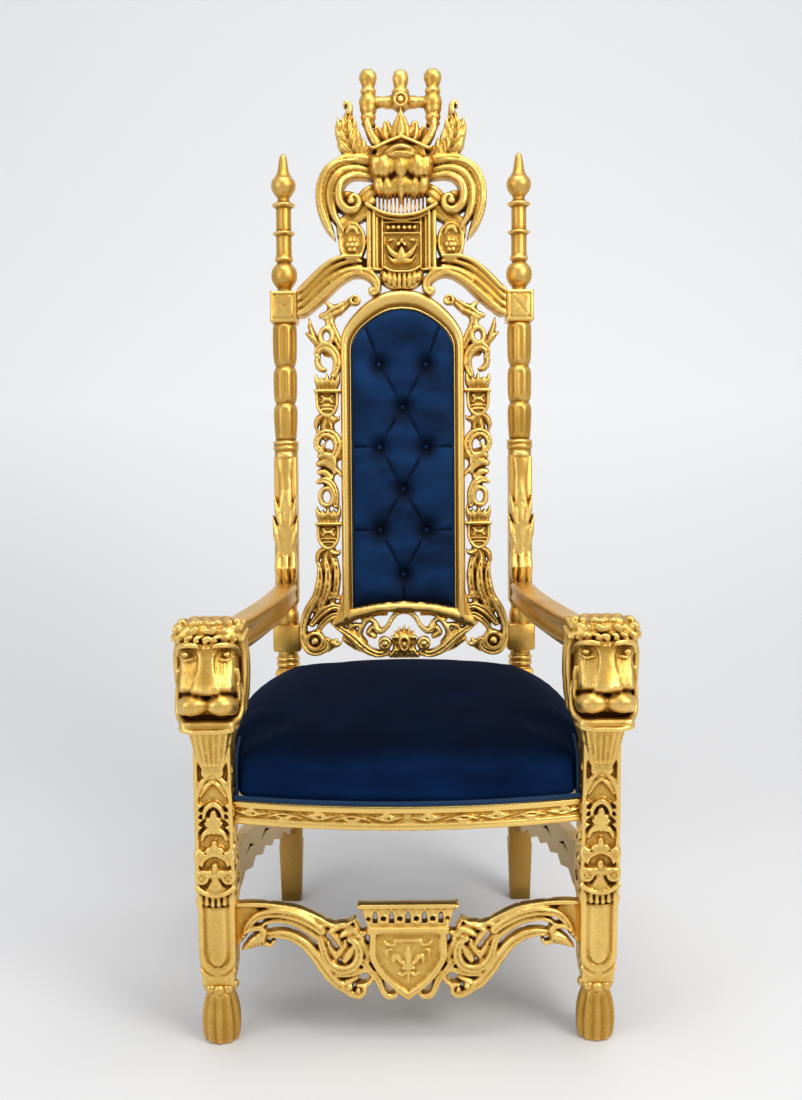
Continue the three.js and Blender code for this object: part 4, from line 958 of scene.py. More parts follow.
def arch_line(offset):
    """The back frame's arch from one foot to its crown, moved outwards by an offset."""
    upright = [(124, z) for z in range(690, 1231, 45)]
    middle = [(125.5, 640), *upright, (122.5, 1250), (114, 1272), (96, 1295), (66, 1320), (34, 1336), (0, 1341)]
    line = smooth_line(middle, 6)
    run = np.gradient(line, axis=0)
    normal = np.stack([run[:, 1], -run[:, 0]], axis=1)
    normal /= np.linalg.norm(normal, axis=1, keepdims=True)
    flare = np.interp(line[:, 1], [1230, 1290, 1341], [1.0, 1.35, 1.85])
    return line + normal * (offset * flare)[:, None]


def make_crest():
    panel = Panel((0, 1290), (POST_INNER + 6, 1846), 1.75)
    crest_rail(panel)
    crest_shield(panel)
    crest_grille(panel)
    crest_petals(panel)
    crest_fan(panel)
    crest_posts(panel)
    crest_wing(panel)
    crest_acanthus(panel)
    crest_rosette(panel)
    arch = arch_line(11.6)
    panel.pierce(np.vstack([arch, [(-40, arch[-1, 1]), (-40, 1200), (136, 1200)]]))
    panel.pierce([(POST_INNER - 0.5, 1200), (POST_INNER - 0.5, 1500), (POST_INNER + 40, 1500), (POST_INNER + 40, 1200)])
    carving = field_shape(*panel.field(True), panel.step).moved(from_back)
    piece("crest_carving", [carving], GOLD, "gilded_wood", "crest")


make_crest()


# Back frame

FRET_REAR = 24.0
ARCH_FOOT = 640


def make_arch():
    """The arch's moulding: a big round outside, a groove, a flat step and a thin bead beside the velvet."""
    # Rows of across, depth and hollow, the shade that the gilding paints at that place.
    section = [
        (-12, 32, 0.6), (-12, 4, 0.6), (-12, -1, 0.2), (-11, -3.6, 0), (-9.8, -3.6, 0), (-9, -0.6, 0.7), (-8.2, 0.4, 0.9),
        (-7, -2.6, 0.5), (-4.8, -6, 0.25), (-2, -8.6, 0.1), (1.5, -10, 0), (4.6, -10, 0), (7.4, -8.6, 0.1),
        (9.6, -5.6, 0.2), (10.8, -1, 0.4), (11.4, 6, 0.6), (11.4, 32, 0.6),
    ]
    rings = []
    for across, depth, _ in section:
        half = arch_line(across)
        half[-1, 0] = 0
        whole = np.vstack([half, half[-2::-1] * [-1, 1]])
        rings.append(np.column_stack([whole[:, 0], np.full(len(whole), depth), whole[:, 1]]))
    return tube(np.stack(rings, axis=1), np.array([hollow for *_, hollow in section])[None, :])


def fret_crown(panel, top):
    """A little leafy crown, the bar under it and the shield that hangs from the bar."""
    for x, tall, lean in ((142, 2, -3), (153, -4, 0), (165, 4, 0), (177, -4, 0), (187, 2, 3)):
        panel.stroke([(165 + (x - 165) * 0.72, top - 30, 5), (x, top - 14, 5.6), (x + lean, top + tall, 1.2)],
                     [-3, -8, -5], 6, rear=FRET_REAR - 2)
    panel.slab([(143, top - 12), (187, top - 12), (183, top - 34), (146, top - 34)], 0, rear=FRET_REAR)
    panel.stroke([(137, top - 36, 3.6), (190, top - 36, 3.6)], -11, 4, rear=FRET_REAR)
    panel.slab([(146, top - 38), (185, top - 38), (186, top - 66), (180, top - 80), (165, top - 91), (150, top - 80),
                (144, top - 66)], 0, rear=FRET_REAR)
    panel.stroke([(187, top - 42, 3), (187, top - 64, 3.2), (181, top - 80, 3.4), (165, top - 90, 3.6),
                  (149, top - 80, 3.4), (143, top - 64, 3.2), (143, top - 42, 3)], -8, 4, rear=FRET_REAR)
    for points in ([(152, top - 46), (165, top - 56), (178, top - 46)], [(152, top - 62), (165, top - 52), (178, top - 62)],
                   [(151, top - 68), (179, top - 68)], [(154, top - 76), (176, top - 76)]):
        panel.stroke([(x, z, 2.4) for x, z in points], -6, 4, rear=10)
    panel.boss(165, top - 54, (4, 4), -8, 5, rear=10)


def fret_leaves(panel, top):
    """Two ribbed leaves that part downwards below a shield."""
    panel.stroke([(170, top, 5), (184, top - 8, 7), (190, top - 24, 5), (186, top - 36, 1)], -8, 8, section=ribbed, rear=22)
    panel.stroke([(162, top - 2, 6), (151, top - 10, 7), (141, top - 8, 4), (138, top - 1, 1)], -9, 8, section=ribbed,
                 rear=22)
    panel.stroke([(165, top - 4, 5), (172, top - 22, 7.5), (174, top - 42, 6), (168, top - 56, 3)], -6, 7,
                 section=ribbed, rear=22)
    panel.stroke([(162, top - 12, 5), (156, top - 28, 6), (160, top - 46, 5)], -4, 7, section=ribbed, rear=22)


def fret_scroll(panel, top):
    """A reeded hook that curls in on itself beside the arch."""
    panel.stroke([(161, top - 66, 8), (148, top - 52, 9), (142, top - 32, 9.5), (150, top - 12, 10), (168, top - 5, 9),
                  (183, top - 12, 8), (189, top - 28, 7), (184, top - 42, 6), (175, top - 47, 4)],
                 [-8, -9, -11, -12, -10], 8, section=reeded(2), rear=FRET_REAR)
    panel.stroke([(176, top - 48, 4), (177, top - 38, 4.5), (171, top - 30, 3)], -11, 6, rear=20)
    panel.stroke([(140, top - 60, 5), (134, top - 50, 5)], -2, 5, rear=22)


def make_fret():
    """The carved strip of scrolls, crowns, shields and leaves beside the arch, from its shoulder to its foot."""
    panel = Panel((84, 545), (POST_INNER - 0.5, 1356), 2.0, fuller=1.15, deeper=1.5)
    panel.ring(102, 1337, (9, 9), 3.6, -17, 6, rear=10)
    panel.boss(101, 1337, (4.6, 4.6), -15, 5, rear=10)
    band = [(104, 1347, 4), (118, 1334, 8), (134, 1322, 12), (150, 1314, 13), (166, 1304, 9), (173, 1299, 2)]
    panel.stroke(band, [-8, -10, -12, -8], 9, section=reeded(2), rear=FRET_REAR, lobes=5, cut=0.22)
    for points in ([(150, 1322, 6), (160, 1330, 5), (168, 1332, 1)], [(158, 1308, 6), (176, 1306, 5), (180, 1300, 1)],
                   [(154, 1300, 7), (160, 1288, 7), (164, 1280, 3)]):
        panel.stroke(points, -8, 7, rear=22)
    panel.stroke([(160, 1300, 8), (152, 1278, 9), (142, 1254, 9), (134, 1236, 7)], [-8, -9, -8, -5], 8,
                 section=reeded(2), rear=FRET_REAR)
    panel.ring(165, 1261, (13.5, 17), 5, -11, 6, rear=FRET_REAR)
    panel.stroke([(171, 1236, 9), (186, 1248, 8), (200, 1262, 6), (213, 1270, 1)], [-6, -8, -6, -3], 8, section=ribbed,
                 rear=22)
    panel.stroke([(184, 1244, 7), (194, 1264, 7), (200, 1284, 6), (203, 1304, 1)], [-8, -9, -7, -3], 8, section=ribbed,
                 rear=22, lobes=4)
    panel.stroke([(150, 1176, 7), (142, 1196, 8.5), (143, 1216, 9.5), (156, 1234, 10), (174, 1238, 9), (186, 1226, 7),
                  (181, 1213, 4)], [-9, -11, -12, -12, -8], 8, section=reeded(2), rear=FRET_REAR)
    panel.stroke([(187, 1210, 5), (183, 1196, 7), (172, 1188, 5), (164, 1190, 1)], -10, 7, section=ribbed, rear=22)
    fret_crown(panel, 1178)
    fret_leaves(panel, 1090)
    fret_scroll(panel, 1056)
    panel.stroke([(166, 1042, 6), (167, 1056, 7)], -4, 6, rear=22)
    for points in ([(165, 1092, 13), (165, 1060, 11)], [(166, 1006, 11), (166, 948, 12)],
                   [(165, 800, 13), (163, 750, 12), (168, 706, 14), (182, 660, 15)], [(164, 1234, 9), (164, 1226, 9)]):
        panel.stroke(points, 3, 4, rear=20)
    for points, front in (
            ([(182, 1000, 6), (166, 1002, 8), (152, 992, 7), (147, 980, 3)], -9),
            ([(184, 984, 7), (168, 986, 9), (152, 974, 8), (150, 962, 4)], -8),
            ([(182, 966, 7), (170, 964, 8), (158, 954, 7)], -6),
            ([(150, 972, 5), (140, 966, 5), (136, 956, 3)], -6)):
        panel.stroke(points, front, 8, rear=22)
    panel.stroke([(187, 944, 5), (172, 948, 7), (156, 938, 8), (147, 916, 7), (148, 892, 6)], [-8, -11, -12, -9], 8,
                 section=reeded(2), rear=FRET_REAR)
    panel.ring(168, 911, (14.5, 19), 5, -11, 6, rear=FRET_REAR)
    fret_crown(panel, 888)
    fret_leaves(panel, 797)
    acanthus = [
        ([(150, 772, 6), (147, 740, 8), (150, 706, 8), (160, 676, 5)], -6), ([(186, 764, 4), (184, 734, 8), (190, 700, 9), (204, 664, 7)], -10),
        ([(170, 772, 4), (166, 740, 8), (170, 704, 9), (184, 668, 7)], -12), ([(142, 688, 4), (156, 694, 8), (176, 688, 9), (196, 664, 8)], -8),
        ([(138, 668, 5), (158, 670, 8), (182, 656, 9), (203, 632, 7)], -10), ([(136, 650, 5), (156, 650, 8), (178, 634, 8), (190, 616, 5)], -8),
    ]
    for points, front in acanthus:
        panel.stroke(points, [front + 4, front, front + 2], 9, section=reeded(2), rear=FRET_REAR)
    panel.stroke([(196, 690, 7), (212, 660, 9), (222, 626, 8), (221, 594, 8), (208, 573, 8), (188, 570, 8), (172, 580, 7),
                  (168, 596, 6)], [-8, -12, -14, -13], 8, section=reeded(2), rear=FRET_REAR)
    panel.ring(196, 595, (17, 17), 5.5, -13, 7, rear=FRET_REAR)
    panel.boss(196, 595, (9, 9), -18, 9, rear=20)
    panel.stroke([(176, 584, 5), (160, 590, 6), (148, 584, 5), (138, 590, 3)], -5, 6, rear=20)
    panel.stroke([(168, 572, 4), (160, 580, 6), (150, 596, 4)], -3, 6, rear=20)
    carving = field_shape(*panel.field(False), panel.step).moved(from_back)
    return [carving, carving.mirrored()]


def make_apron():
    """The sill and the lens of pierced tracery under it, with its shell."""
    panel = Panel((0, 548), (166, 704), 2.0, fuller=1.12, deeper=1.3)
    panel.stroke([(0, 669, 9), (60, 664, 9.5), (104, 653, 11), (134, 641, 13), (152, 633, 8)], [-12, -12, -11, -8], 10,
                 rear=36)
    panel.stroke([(0, 680, 3), (60, 675, 3), (104, 665, 3), (118, 662, 3)], -4, 3, rear=36)
    panel.stroke([(128, 700, 8), (134, 672, 11), (144, 648, 12), (156, 636, 4)], [-7, -6], 9, rear=36)
    panel.stroke([(160, 634, 4), (142, 622, 7), (118, 606, 8.5), (98, 588, 9), (78, 572, 9), (56, 564, 8.5), (38, 568, 7)],
                 [-4, -8, -11, -12, -10], 8, section=reeded(2), rear=FRET_REAR)
    panel.stroke([(132, 598, 6), (112, 584, 7), (92, 572, 5), (74, 563, 2)], -3, 6, section=ribbed, rear=20)
    panel.ring(43, 588, (11, 11), 4.5, -12, 7, rear=FRET_REAR)
    panel.boss(43, 588, (7, 7), -14, 7, rear=20)
    panel.slab([(0, 618), (-19, 612), (-27, 596), (-24, 572), (-34, 557), (34, 557), (24, 572), (27, 596), (19, 612)],
               -3, rear=FRET_REAR)
    panel.ring(0, 588, (10, 15), 4, -13, 7, rear=20)
    panel.boss(0, 586, (5, 8), -16, 7, rear=20)
    for x, top, half in ((0, 627, 5), (11, 623, 4.5), (21, 615, 4), (27, 603, 3.6)):
        panel.stroke([(x * 0.72, 601, half), (x * 1.04, top, half * 0.5)], [-10, -8], 6, rear=20)
    for x in (6, 18, 29):
        panel.stroke([(x * 0.7, 575, 4), (x, 560, 5)], [-10, -8], 6, rear=20)
    panel.stroke([(0, 658, 5), (14, 655, 5), (27, 642, 5), (36, 626, 5), (50, 615, 6), (62, 618, 5), (66, 628, 3)],
                 [-4, -6, -8, -9], 7, section=reeded(2), rear=20)
    panel.stroke([(56, 616, 5), (62, 632, 5), (78, 642, 5), (92, 640, 3)], [-6, -5], 6, rear=20)
    panel.stroke([(88, 584, 5), (98, 604, 6), (94, 622, 6), (84, 636, 5), (70, 650, 3)], [-6, -8, -5], 6, rear=20)
    panel.stroke([(104, 604, 5), (114, 620, 6), (124, 634, 5)], -4, 6, rear=20)
    panel.stroke([(70, 624, 6), (76, 612, 8), (66, 604, 6)], -8, 7, section=ribbed, rear=20)
    panel.stroke([(108, 650, 5), (84, 650, 7), (62, 654, 6), (40, 652, 4)], -3, 6, section=ribbed, rear=20)
    panel.stroke([(112, 612, 7), (98, 600, 8), (84, 590, 5)], -6, 7, section=ribbed, rear=20)
    panel.stroke([(96, 628, 4), (110, 628, 5), (122, 620, 3)], -5, 6, rear=20)
    return [field_shape(*panel.field(True), panel.step).moved(from_back)]


def make_back_frame():
    piece("arch_moulding", [make_arch().moved(from_back)], GOLD, "gilded_wood", "back_frame")
    piece("fret_carving", make_fret(), GOLD, "gilded_wood", "back_frame")
    piece("apron_carving", make_apron(), GOLD, "gilded_wood", "back_frame")


# Rear posts

def post_flutes(angle, height):
    inside = np.zeros_like(height)
    for low, high in ((1037, 1116), (1118, 1196), (1198, 1292)):
        inside = np.maximum(inside, np.clip(np.minimum(height - low - 7, high - height - 7) / 8, 0, 1))
    return 1 - 0.10 * inside * (0.5 + 0.5 * np.cos(8 * angle)) ** 1.3


def post_front():
    """The crossed square at the top of the post, and the acanthus bracket with its ribbed scroll."""
    square = Panel((-33, 1289), (33, 1364), 1.6)
    square.slab([(-30.5, 1292), (30.5, 1292), (30.5, 1361), (-30.5, 1361)], 0, rear=61, bevel=3)
    frame_line = [(-21, 1301), (21, 1301), (21, 1352), (-21, 1352), (-21, 1301)]
    for a, b in zip(frame_line, frame_line[1:]):
        square.engrave([(*a, 1.6), (*b, 1.6)], 2.2)
    for a, b in (((-19, 1303), (19, 1350)), ((-19, 1350), (19, 1303))):
        square.engrave([(*a, 1.3), (*b, 1.3)], 1.6)
    bracket = Panel((-31, 716), (31, 1010), 1.9)
    bracket.stroke([(0, 1001, 19), (0, 985, 18), (0, 950, 16), (0, 905, 16), (0, 860, 18), (0, 820, 21), (0, 794, 22)],
                   [-3, -4, -8, -13, -15], 9, rear=16)
    bracket.engrave([(-15, 996, 2), (15, 996, 2)], 3)
    for side in (-1, 1):
        bracket.stroke([(side * 9, 846, 5), (side * 17, 874, 6.5), (side * 21, 898, 4), (side * 24, 916, 1)],
                       [-14, -15, -9], 8, section=ribbed, rear=16)
        bracket.stroke([(side * 12, 798, 6), (side * 20, 826, 7.5), (side * 24, 852, 5), (side * 28, 872, 1)],
                       [-15, -16, -8], 8, section=ribbed, rear=16)
        bracket.engrave([(side * 5, 796, 1.5), (side * 6, 850, 1.5), (side * 3, 900, 1.2)], 2)
        bracket.stroke([(side * 15.5, 786, 7.5), (side * 16, 756, 8.6), (side * 15, 726, 7)], [-13, -27, -10], 8, rear=14)
    bracket.stroke([(0, 788, 7.5), (0, 755, 8.4), (0, 723, 7)], [-15, -29, -12], 8, rear=14)
    return [field_shape(*panel.field(False), panel.step, reach=6).moved(lambda points: points + [POST_X, 0, 0])
            for panel in (square, bracket)]


def make_posts():
    finial = [
        (1359, 18), (1364, 15), (1369, 15.5), (1375, 20), (1385, 26.5), (1398, 28.3), (1411, 26), (1420, 19), (1424, 15),
        (1428, 18), (1432, 21), (1436, 19), (1440, 17.5), (1446, 17), (1478, 17), (1483, 17.5), (1487, 24), (1490, 24),
        (1494, 17.5), (1499, 16.5), (1538, 16.5), (1543, 17), (1548, 25), (1552, 25), (1556, 16.5), (1562, 13),
        (1567, 14), (1574, 20), (1584, 25.5), (1594, 27), (1604, 24.5), (1612, 18), (1622, 13), (1636, 10.5), (1650, 8.5),
        (1656, 7), (1660, 4), (1661.5, 1),
    ]
    shaft = [
        (988, 25), (1004, 25.5), (1014, 25.5), (1016, 27.5), (1020, 28.5), (1024, 27), (1026, 26.5), (1028, 28), (1032, 28.5),
        (1035, 26), (1037, 21.5), (1042, 23.5), (1060, 25.5), (1090, 27), (1104, 26.5), (1112, 23.5), (1117, 20.5),
        (1122, 23), (1132, 26), (1160, 27), (1182, 26.6), (1191, 24), (1197, 20.5), (1203, 23), (1213, 26), (1240, 27.4),
        (1276, 27.4), (1288, 25), (1293, 22),
    ]
    neck = [(627, 21), (632, 24), (640, 25), (654, 24), (664, 20), (672, 22), (679, 24)]
    rings = [(522, 24), (531, 24), (534, 21.5), (538, 25.5), (543, 26.4), (547, 23), (551, 26), (556, 26), (560, 22), (572, 22.5)]
    x, y = POST_X, 30.5
    shapes = [
        lathe(x, y, finial), lathe(x, y, shaft, 64, swell=post_flutes), lathe(x, y, neck), lathe(x, y, rings),
        bevelled_box((x - 25, 5.5, 676), (x + 25, 55.5, 1000)), bevelled_box((x - 30.5, 0, 571), (x + 30.5, 61, 630), 4),
        bevelled_box((x - 26, 0, 440), (x + 26, 52, 530)), *post_front(),
    ]
    leg = [(0, 22, -6), (70, 24, -4), (127, 26, 0), (132, 24, 0), (170, 26, 0), (458, 26, 0)]
    standing = tower([(z, x, BACK_Y + step + half, half, half) for z, half, step in leg])
    right = [shape.moved(from_back) for shape in shapes]
    piece("post_right", right, GOLD, "gilded_wood", "back_post_right")
    piece("post_left", [shape.mirrored() for shape in right], GOLD, "gilded_wood", "back_post_left")
    piece("rear_leg_right", [standing], AGED_GOLD, "gilded_wood", "back_post_right")
    piece("rear_leg_left", [standing.mirrored()], AGED_GOLD, "gilded_wood", "back_post_left")


# Front legs

def leg_relief():
    """The drops, hoods, scrolls and the sunk pilaster on each face of a front leg."""
    panel = Panel((-38, 104), (38, 562), 2.0)
    panel.slab([(-29, 108), (29, 108), (31, 122), (33, 150), (33, 262), (35, 300), (35, 352), (33, 372), (33, 500),
                (30, 560), (-30, 560), (-33, 500), (-33, 372), (-35, 352), (-35, 300), (-33, 262), (-33, 150), (-31, 122)],
               -25, rear=0, bevel=5)
    for side in (-1, 1):
        panel.stroke([(side * 31, 262, 5), (side * 32, 300, 5), (side * 31, 360, 5), (side * 30.5, 430, 5),
                      (side * 30, 500, 5), (side * 29, 552, 5)], -33.5, 5, rear=0)
    panel.slab([(-31, 108), (31, 108), (32, 150), (32, 262), (-32, 262), (-32, 150)], -29, rear=0, bevel=4)
    panel.slab([(-16, 258), (16, 258), (16, 170), (13, 158), (7, 150), (0, 148), (-7, 150), (-13, 158), (-16, 170)],
               -34, rear=0, bevel=2.5)
    panel.stroke([(-27.5, 264, 5), (-27.5, 172, 5), (-23, 153, 5.5), (-12, 142, 6.5), (0, 139, 7.5), (12, 142, 6.5),
                  (23, 153, 5.5), (27.5, 172, 5), (27.5, 264, 5)], -35.5, 4.5, rear=0)
    panel.stroke([(-31, 142, 2.4), (-16, 129, 2.4), (0, 126, 2.4), (16, 129, 2.4), (31, 142, 2.4)], -33.5, 3, rear=0)
    teeth = 6
    for i in range(teeth):
        x = 10.4 * (i - (teeth - 1) / 2)
        panel.stroke([(x, 279, 3.6), (x, 265 + 0.006 * x * x, 4)], [-34, -38], 4, rear=0)
    panel.stroke([(-33, 296, 4.5), (-17, 285, 4), (0, 282, 4), (17, 285, 4), (33, 296, 4.5)], -37.5, 4, rear=0)
    panel.stroke([(0, 322, 5), (0, 306, 9), (0, 290, 17)], [-36, -37, -35], 6, section=ribbed, rear=0)
    hoods = ((0, 402, 21, 20), (0, 356, 23, 20), (0, 446, 17, 24))
    for x, z, half, tall in hoods:
        panel.stroke([(x - half, z - tall, 2), (x - half * 0.86, z - tall * 0.45, 3.6), (x - half * 0.45, z - 2, 4),
                      (x, z + 2, 4.4), (x + half * 0.45, z - 2, 4), (x + half * 0.86, z - tall * 0.45, 3.6),
                      (x + half, z - tall, 2)], -37.5, 5, rear=0)
    for z, tall, half in ((427, 11, 6.5), (374, 9, 6), (333, 9, 6.5)):
        panel.boss(0, z, (half, tall), -38, 8, rear=0)
        for side in (-1, 1):
            panel.stroke([(side * 2, z - tall - 1, 4), (side * 9, z - tall - 6, 5), (side * 15, z - tall - 2, 2)],
                         -36, 6, rear=0)
    for z, spread in ((427, 8), (374, 9), (333, 10)):
        for i in range(5):
            angle = math.pi * (1.0 + (i + 0.5) / 5)
            panel.boss(spread * math.cos(angle) * 1.1, z - 5 + spread * math.sin(angle), (4.4, 5.4), -37, 6, rear=0,
                       turn=angle + math.pi / 2)
    for i in (-1, 0, 1):
        panel.stroke([(3 * i, 410, 3), (8 * i, 396, 4)], -35.5, 4, rear=0)
    panel.stroke([(0, 540, 16), (0, 520, 20), (0, 500, 14)], -33, 6, rear=0)
    for side in (-1, 1):
        panel.ring(side * 26, 353, (7, 8), 3.8, -37, 6, rear=0)
        panel.boss(side * 26, 353, (4, 4), -39, 5, rear=0)
        panel.ring(side * 23, 315, (9, 9.5), 4.2, -38, 7, rear=0)
        panel.boss(side * 23, 315, (5, 5), -40, 6, rear=0)
        for i in range(4):
            panel.stroke([(side * 31, 396 + 13 * i, 3), (side * 26, 404 + 13 * i, 4), (side * 20, 406 + 13 * i, 1)],
                         -35.5, 5, section=ribbed, rear=0)
        panel.stroke([(side * 26, 344, 4), (side * 33, 332, 4), (side * 31, 318, 3.4)], -35, 5, rear=0)
        panel.stroke([(side * 31, 438, 3), (side * 28, 462, 4), (side * 20, 484, 5), (side * 9, 496, 4)], -34, 5, rear=0)
        panel.stroke([(side * 30, 366, 3), (side * 29.5, 400, 3.4), (side * 30, 436, 3)], -34, 4, rear=0)
        panel.stroke([(side * 3, 486, 4), (side * 12, 478, 5), (side * 22, 460, 2)], -35, 6, section=ribbed, rear=0)
        panel.boss(side * 11, 505, (8.5, 9.5), -39, 8, rear=0, turn=side * 0.5)
        panel.stroke([(side * 13, 512, 6), (side * 22, 530, 6), (side * 29, 548, 1.5)], [-37, -36, -32], 7,
                     section=ribbed, rear=0)
    beads = 7
    for i in range(beads):
        panel.boss(0, 488 + 8 * i, (3.6, 3.8), -37, 5, rear=0)
    away = np.abs(panel.x)[:, None]
    slope = np.gradient(panel.front, panel.step)
    ease = 1 / np.sqrt(1 + np.clip(slope[0] ** 2 + slope[1] ** 2, 0, 12))
    faces = [panel.edge[:, None, :], panel.edge[None, :, :],
             (panel.front[:, None, :] + away[None]) * ease[:, None, :],
             (panel.front[None, :, :] + away[:, None]) * ease[None]]
    values = np.maximum(np.maximum(faces[0], faces[1]), np.maximum(faces[2], faces[3]))
    return field_shape(values, (panel.x[0], panel.x[0], panel.z[0]), panel.step, reach=6)


def lion_head():
    """The lion's head on top of the leg: mane, brow, flat muzzle, puffed lips and striped throat."""
    head = Block((-64, -94, 508), (64, 50, 780), 1.9)
    head.box((-47, -44, 596), (47, 44, 760), 17)
    head.box((-43, -60, 606), (43, -20, 662), 14, 8)
    part, x, y, z = head.window((-60, -96, 640), (60, 10, 742))
    away = np.abs(x)
    bridge = np.interp(z, [652, 662, 680, 696, 712, 726, 740], [24, 24, 19, 14, 13, 18, 26])
    face = np.interp(z, [650, 656, 664, 690, 712, 738], [-74, -85, -89, -75, -66, -58])
    nose = np.maximum(np.maximum(away - bridge, face + 0.012 * x * x - y), np.maximum(z - 736, 652 - z))
    fall = np.clip(away - bridge, 0, 60)
    cheek = face + 5.5 + fall * 0.38 + np.clip(away - 42, 0, 20) ** 2 * 0.35 + 0.8 * np.cos(away * 1.15)
    cheek = cheek + np.interp(z, [650, 658, 680], [9, 5, 0])
    socket = 4.5 * np.exp(-((away - 33) / 12) ** 2 - ((z - 722) / 10) ** 2)
    cheeks = np.maximum(np.maximum(away - 50, (cheek + socket - y) * 0.85), np.maximum(z - 738, 650 - z))
    head.put(part, cheeks, 3.0, False)
    head.put(part, nose, 1.2, False)
    part, x, y, z = head.window((-60, -94, 508), (60, 50, 600))
    half = np.interp(z, [508, 530, 560, 585, 600], [27, 31, 38, 43, 44])
    deep = np.interp(z, [508, 530, 560, 585, 600], [34, 39, 46, 51, 52])
    round_off = ((np.abs(x) / half) ** 3.2 + (np.abs(y) / deep) ** 3.2) ** (1 / 3.2)
    stripes = 1.3 * np.cos(np.arctan2(x, -y - 10) * 22) * np.clip((596 - z) / 30, 0, 1)
    head.put(part, np.maximum((round_off - 1) * half + stripes, 514 - z), 3.0, False)
    for side in (-1, 1):
        head.lump((side * 23, -66, 635), (26.5, 25, 19.5), 2.5)
        head.lump((side * 40, -56, 628), (12, 20, 15), 5)
        head.lump((side * 35, -59, 720), (7, 7, 5), 1.5)
        head.strand([(side * 15, -66, 735, 4), (side * 31, -62, 736, 5), (side * 46, -48, 730, 5), (side * 53, -28, 712, 4)])
        head.strand([(side * 22, -63, 713, 1.8), (side * 35, -62, 710, 2.6), (side * 46, -50, 714, 2.2)])
        head.lump((side * 53, -38, 700), (6, 12, 8), 2.0, cut=True)
        for high, deep in ((690, -50), (664, -50)):
            head.strand([(side * 50, deep, high, 4), (side * 52, deep + 4, high - 16, 5), (side * 50, deep + 6, high - 30, 4)],
                        3)
        head.lump((side * 29, -80, 608), (2.8, 2.8, 7), 1)
        locks = [
            [(side * 52, -14, 736, 7), (side * 57, -14, 706, 7), (side * 56, -10, 666, 7), (side * 52, -6, 626, 7), (side * 47, -8, 604, 7)],
            [(side * 50, 6, 744, 8), (side * 57, 8, 700, 8), (side * 57, 10, 656, 8.5), (side * 53, 10, 618, 8), (side * 52, -2, 604, 6)],
            [(side * 48, 28, 744, 9), (side * 54, 32, 700, 9), (side * 53, 34, 650, 9), (side * 47, 30, 606, 8), (side * 42, 26, 586, 4)],
        ]
        for lock in locks:
            head.strand(lock, 1.5)
        head.strand([(side * 40, -56, 600, 8), (side * 50, -44, 606, 7), (side * 54, -34, 624, 6), (side * 54, -30, 646, 5),
                     (side * 51, -30, 664, 3)], 3)
    head.strand([(0, -93, 652, 2.2), (0, -94, 634, 2.6), (0, -92, 616, 2)], 1.5, cut=True)
    head.box((-46, -74, 586), (46, -30, 606), 7, 4)
    head.box((-33, -104, 606.5), (33, -52, 613.5), 2, 1, cut=True)
    head.strand([(-48, -38, 592, 4.5), (-45, -64, 591, 4.5), (-28, -75, 590, 4.5), (0, -77, 590, 4.5),
                 (28, -75, 590, 4.5), (45, -64, 591, 4.5), (48, -38, 592, 4.5)], 1.5)
    def curl(x, y, z, turn, size):
        """A tuft that rolls up on itself."""
        c, d = size * math.cos(turn), size * math.sin(turn)
        head.strand([(x - 0.9 * c, y + 2, z - 0.9 * d, size * 0.4), (x - d * 0.5, y - 4, z + c * 0.7, size * 0.46),
                     (x + 0.8 * c, y - 5, z + 0.5 * d, size * 0.42), (x + 0.5 * c + 0.2 * d, y - 5, z - 0.4 * c, size * 0.34),
                     (x - 0.1 * c, y - 6, z - 0.1 * c, size * 0.26)], 2.2, steps=3)

    head.box((-50, -50, 734), (50, 40, 764), 15, 4)
    curls = 7
    for row, (z, front) in enumerate(((742, -53), (756, -47), (766, -34))):
        for i in range(curls):
            x = (i - (curls - 1) / 2) * 15.5 + (row % 2) * 5 - 2
            curl(x, front + 0.006 * x * x, z, (1 if i % 2 else -1) * 0.7 + row, 8.6)
    for side in (-1, 1):
        for row, z in enumerate((742, 757)):
            for i in range(4):
                head.lump((side * (53 - 4 * row), -32 + 17 * i + 6 * row, z), (7.5, 9, 8.6), 3)
                head.strand([(side * (60 - 4 * row), -36 + 17 * i + 6 * row, z - 3, 2.6),
                             (side * (61 - 4 * row), -30 + 17 * i + 6 * row, z + 4, 3)], 1)
    for i in range(3):
        for x in (-32, -14, 4, 22):
            head.lump((x + 4 * i, -14 + 17 * i, 764), (10, 10, 6), 3)
    beads = 12
    for i in range(beads):
        x = (i - (beads - 1) / 2) * 8.4
        head.lump((x, -63 + 0.007 * x * x, 731), (3.8, 4, 3.2), 1.2)
    return head.shape(reach=7, passes=2, merge=0.12)


def foot_ribs(angle, height):
    tall = np.clip((92 - height) / 14, 0, 1) * np.clip(height / 5 + 0.3, 0, 1)
    return 1 - 0.17 * tall * (1 - np.abs(np.sin(5 * angle))) ** 1.2


def leg_foot():
    """The ribbed bulb the leg stands on, with a ring of balls above it."""
    bulb = [(0, 27), (3, 31), (12, 33.5), (34, 35), (58, 33.5), (76, 29.5), (88, 25), (96, 21), (112, 22)]
    shapes = [lathe(0, 0, bulb, 90, 6, foot_ribs)]
    balls = 8
    for i in range(balls):
        angle = (i + 0.5) * 2 * math.pi / balls - math.pi / 8
        heights = np.linspace(-1, 1, 9)
        levels = [(102 + 11 * h, 11 * math.sqrt(max(1 - h * h, 0))) for h in heights]
        shapes.append(lathe(22 * math.sin(angle), -22 * math.cos(angle), levels, 16, 1))
    cup = [(84, 22), (92, 23), (100, 20), (110, 21), (115, 26), (119, 29.5), (124, 30), (128, 28)]
    return [*shapes, lathe(0, 0, cup, 40)]


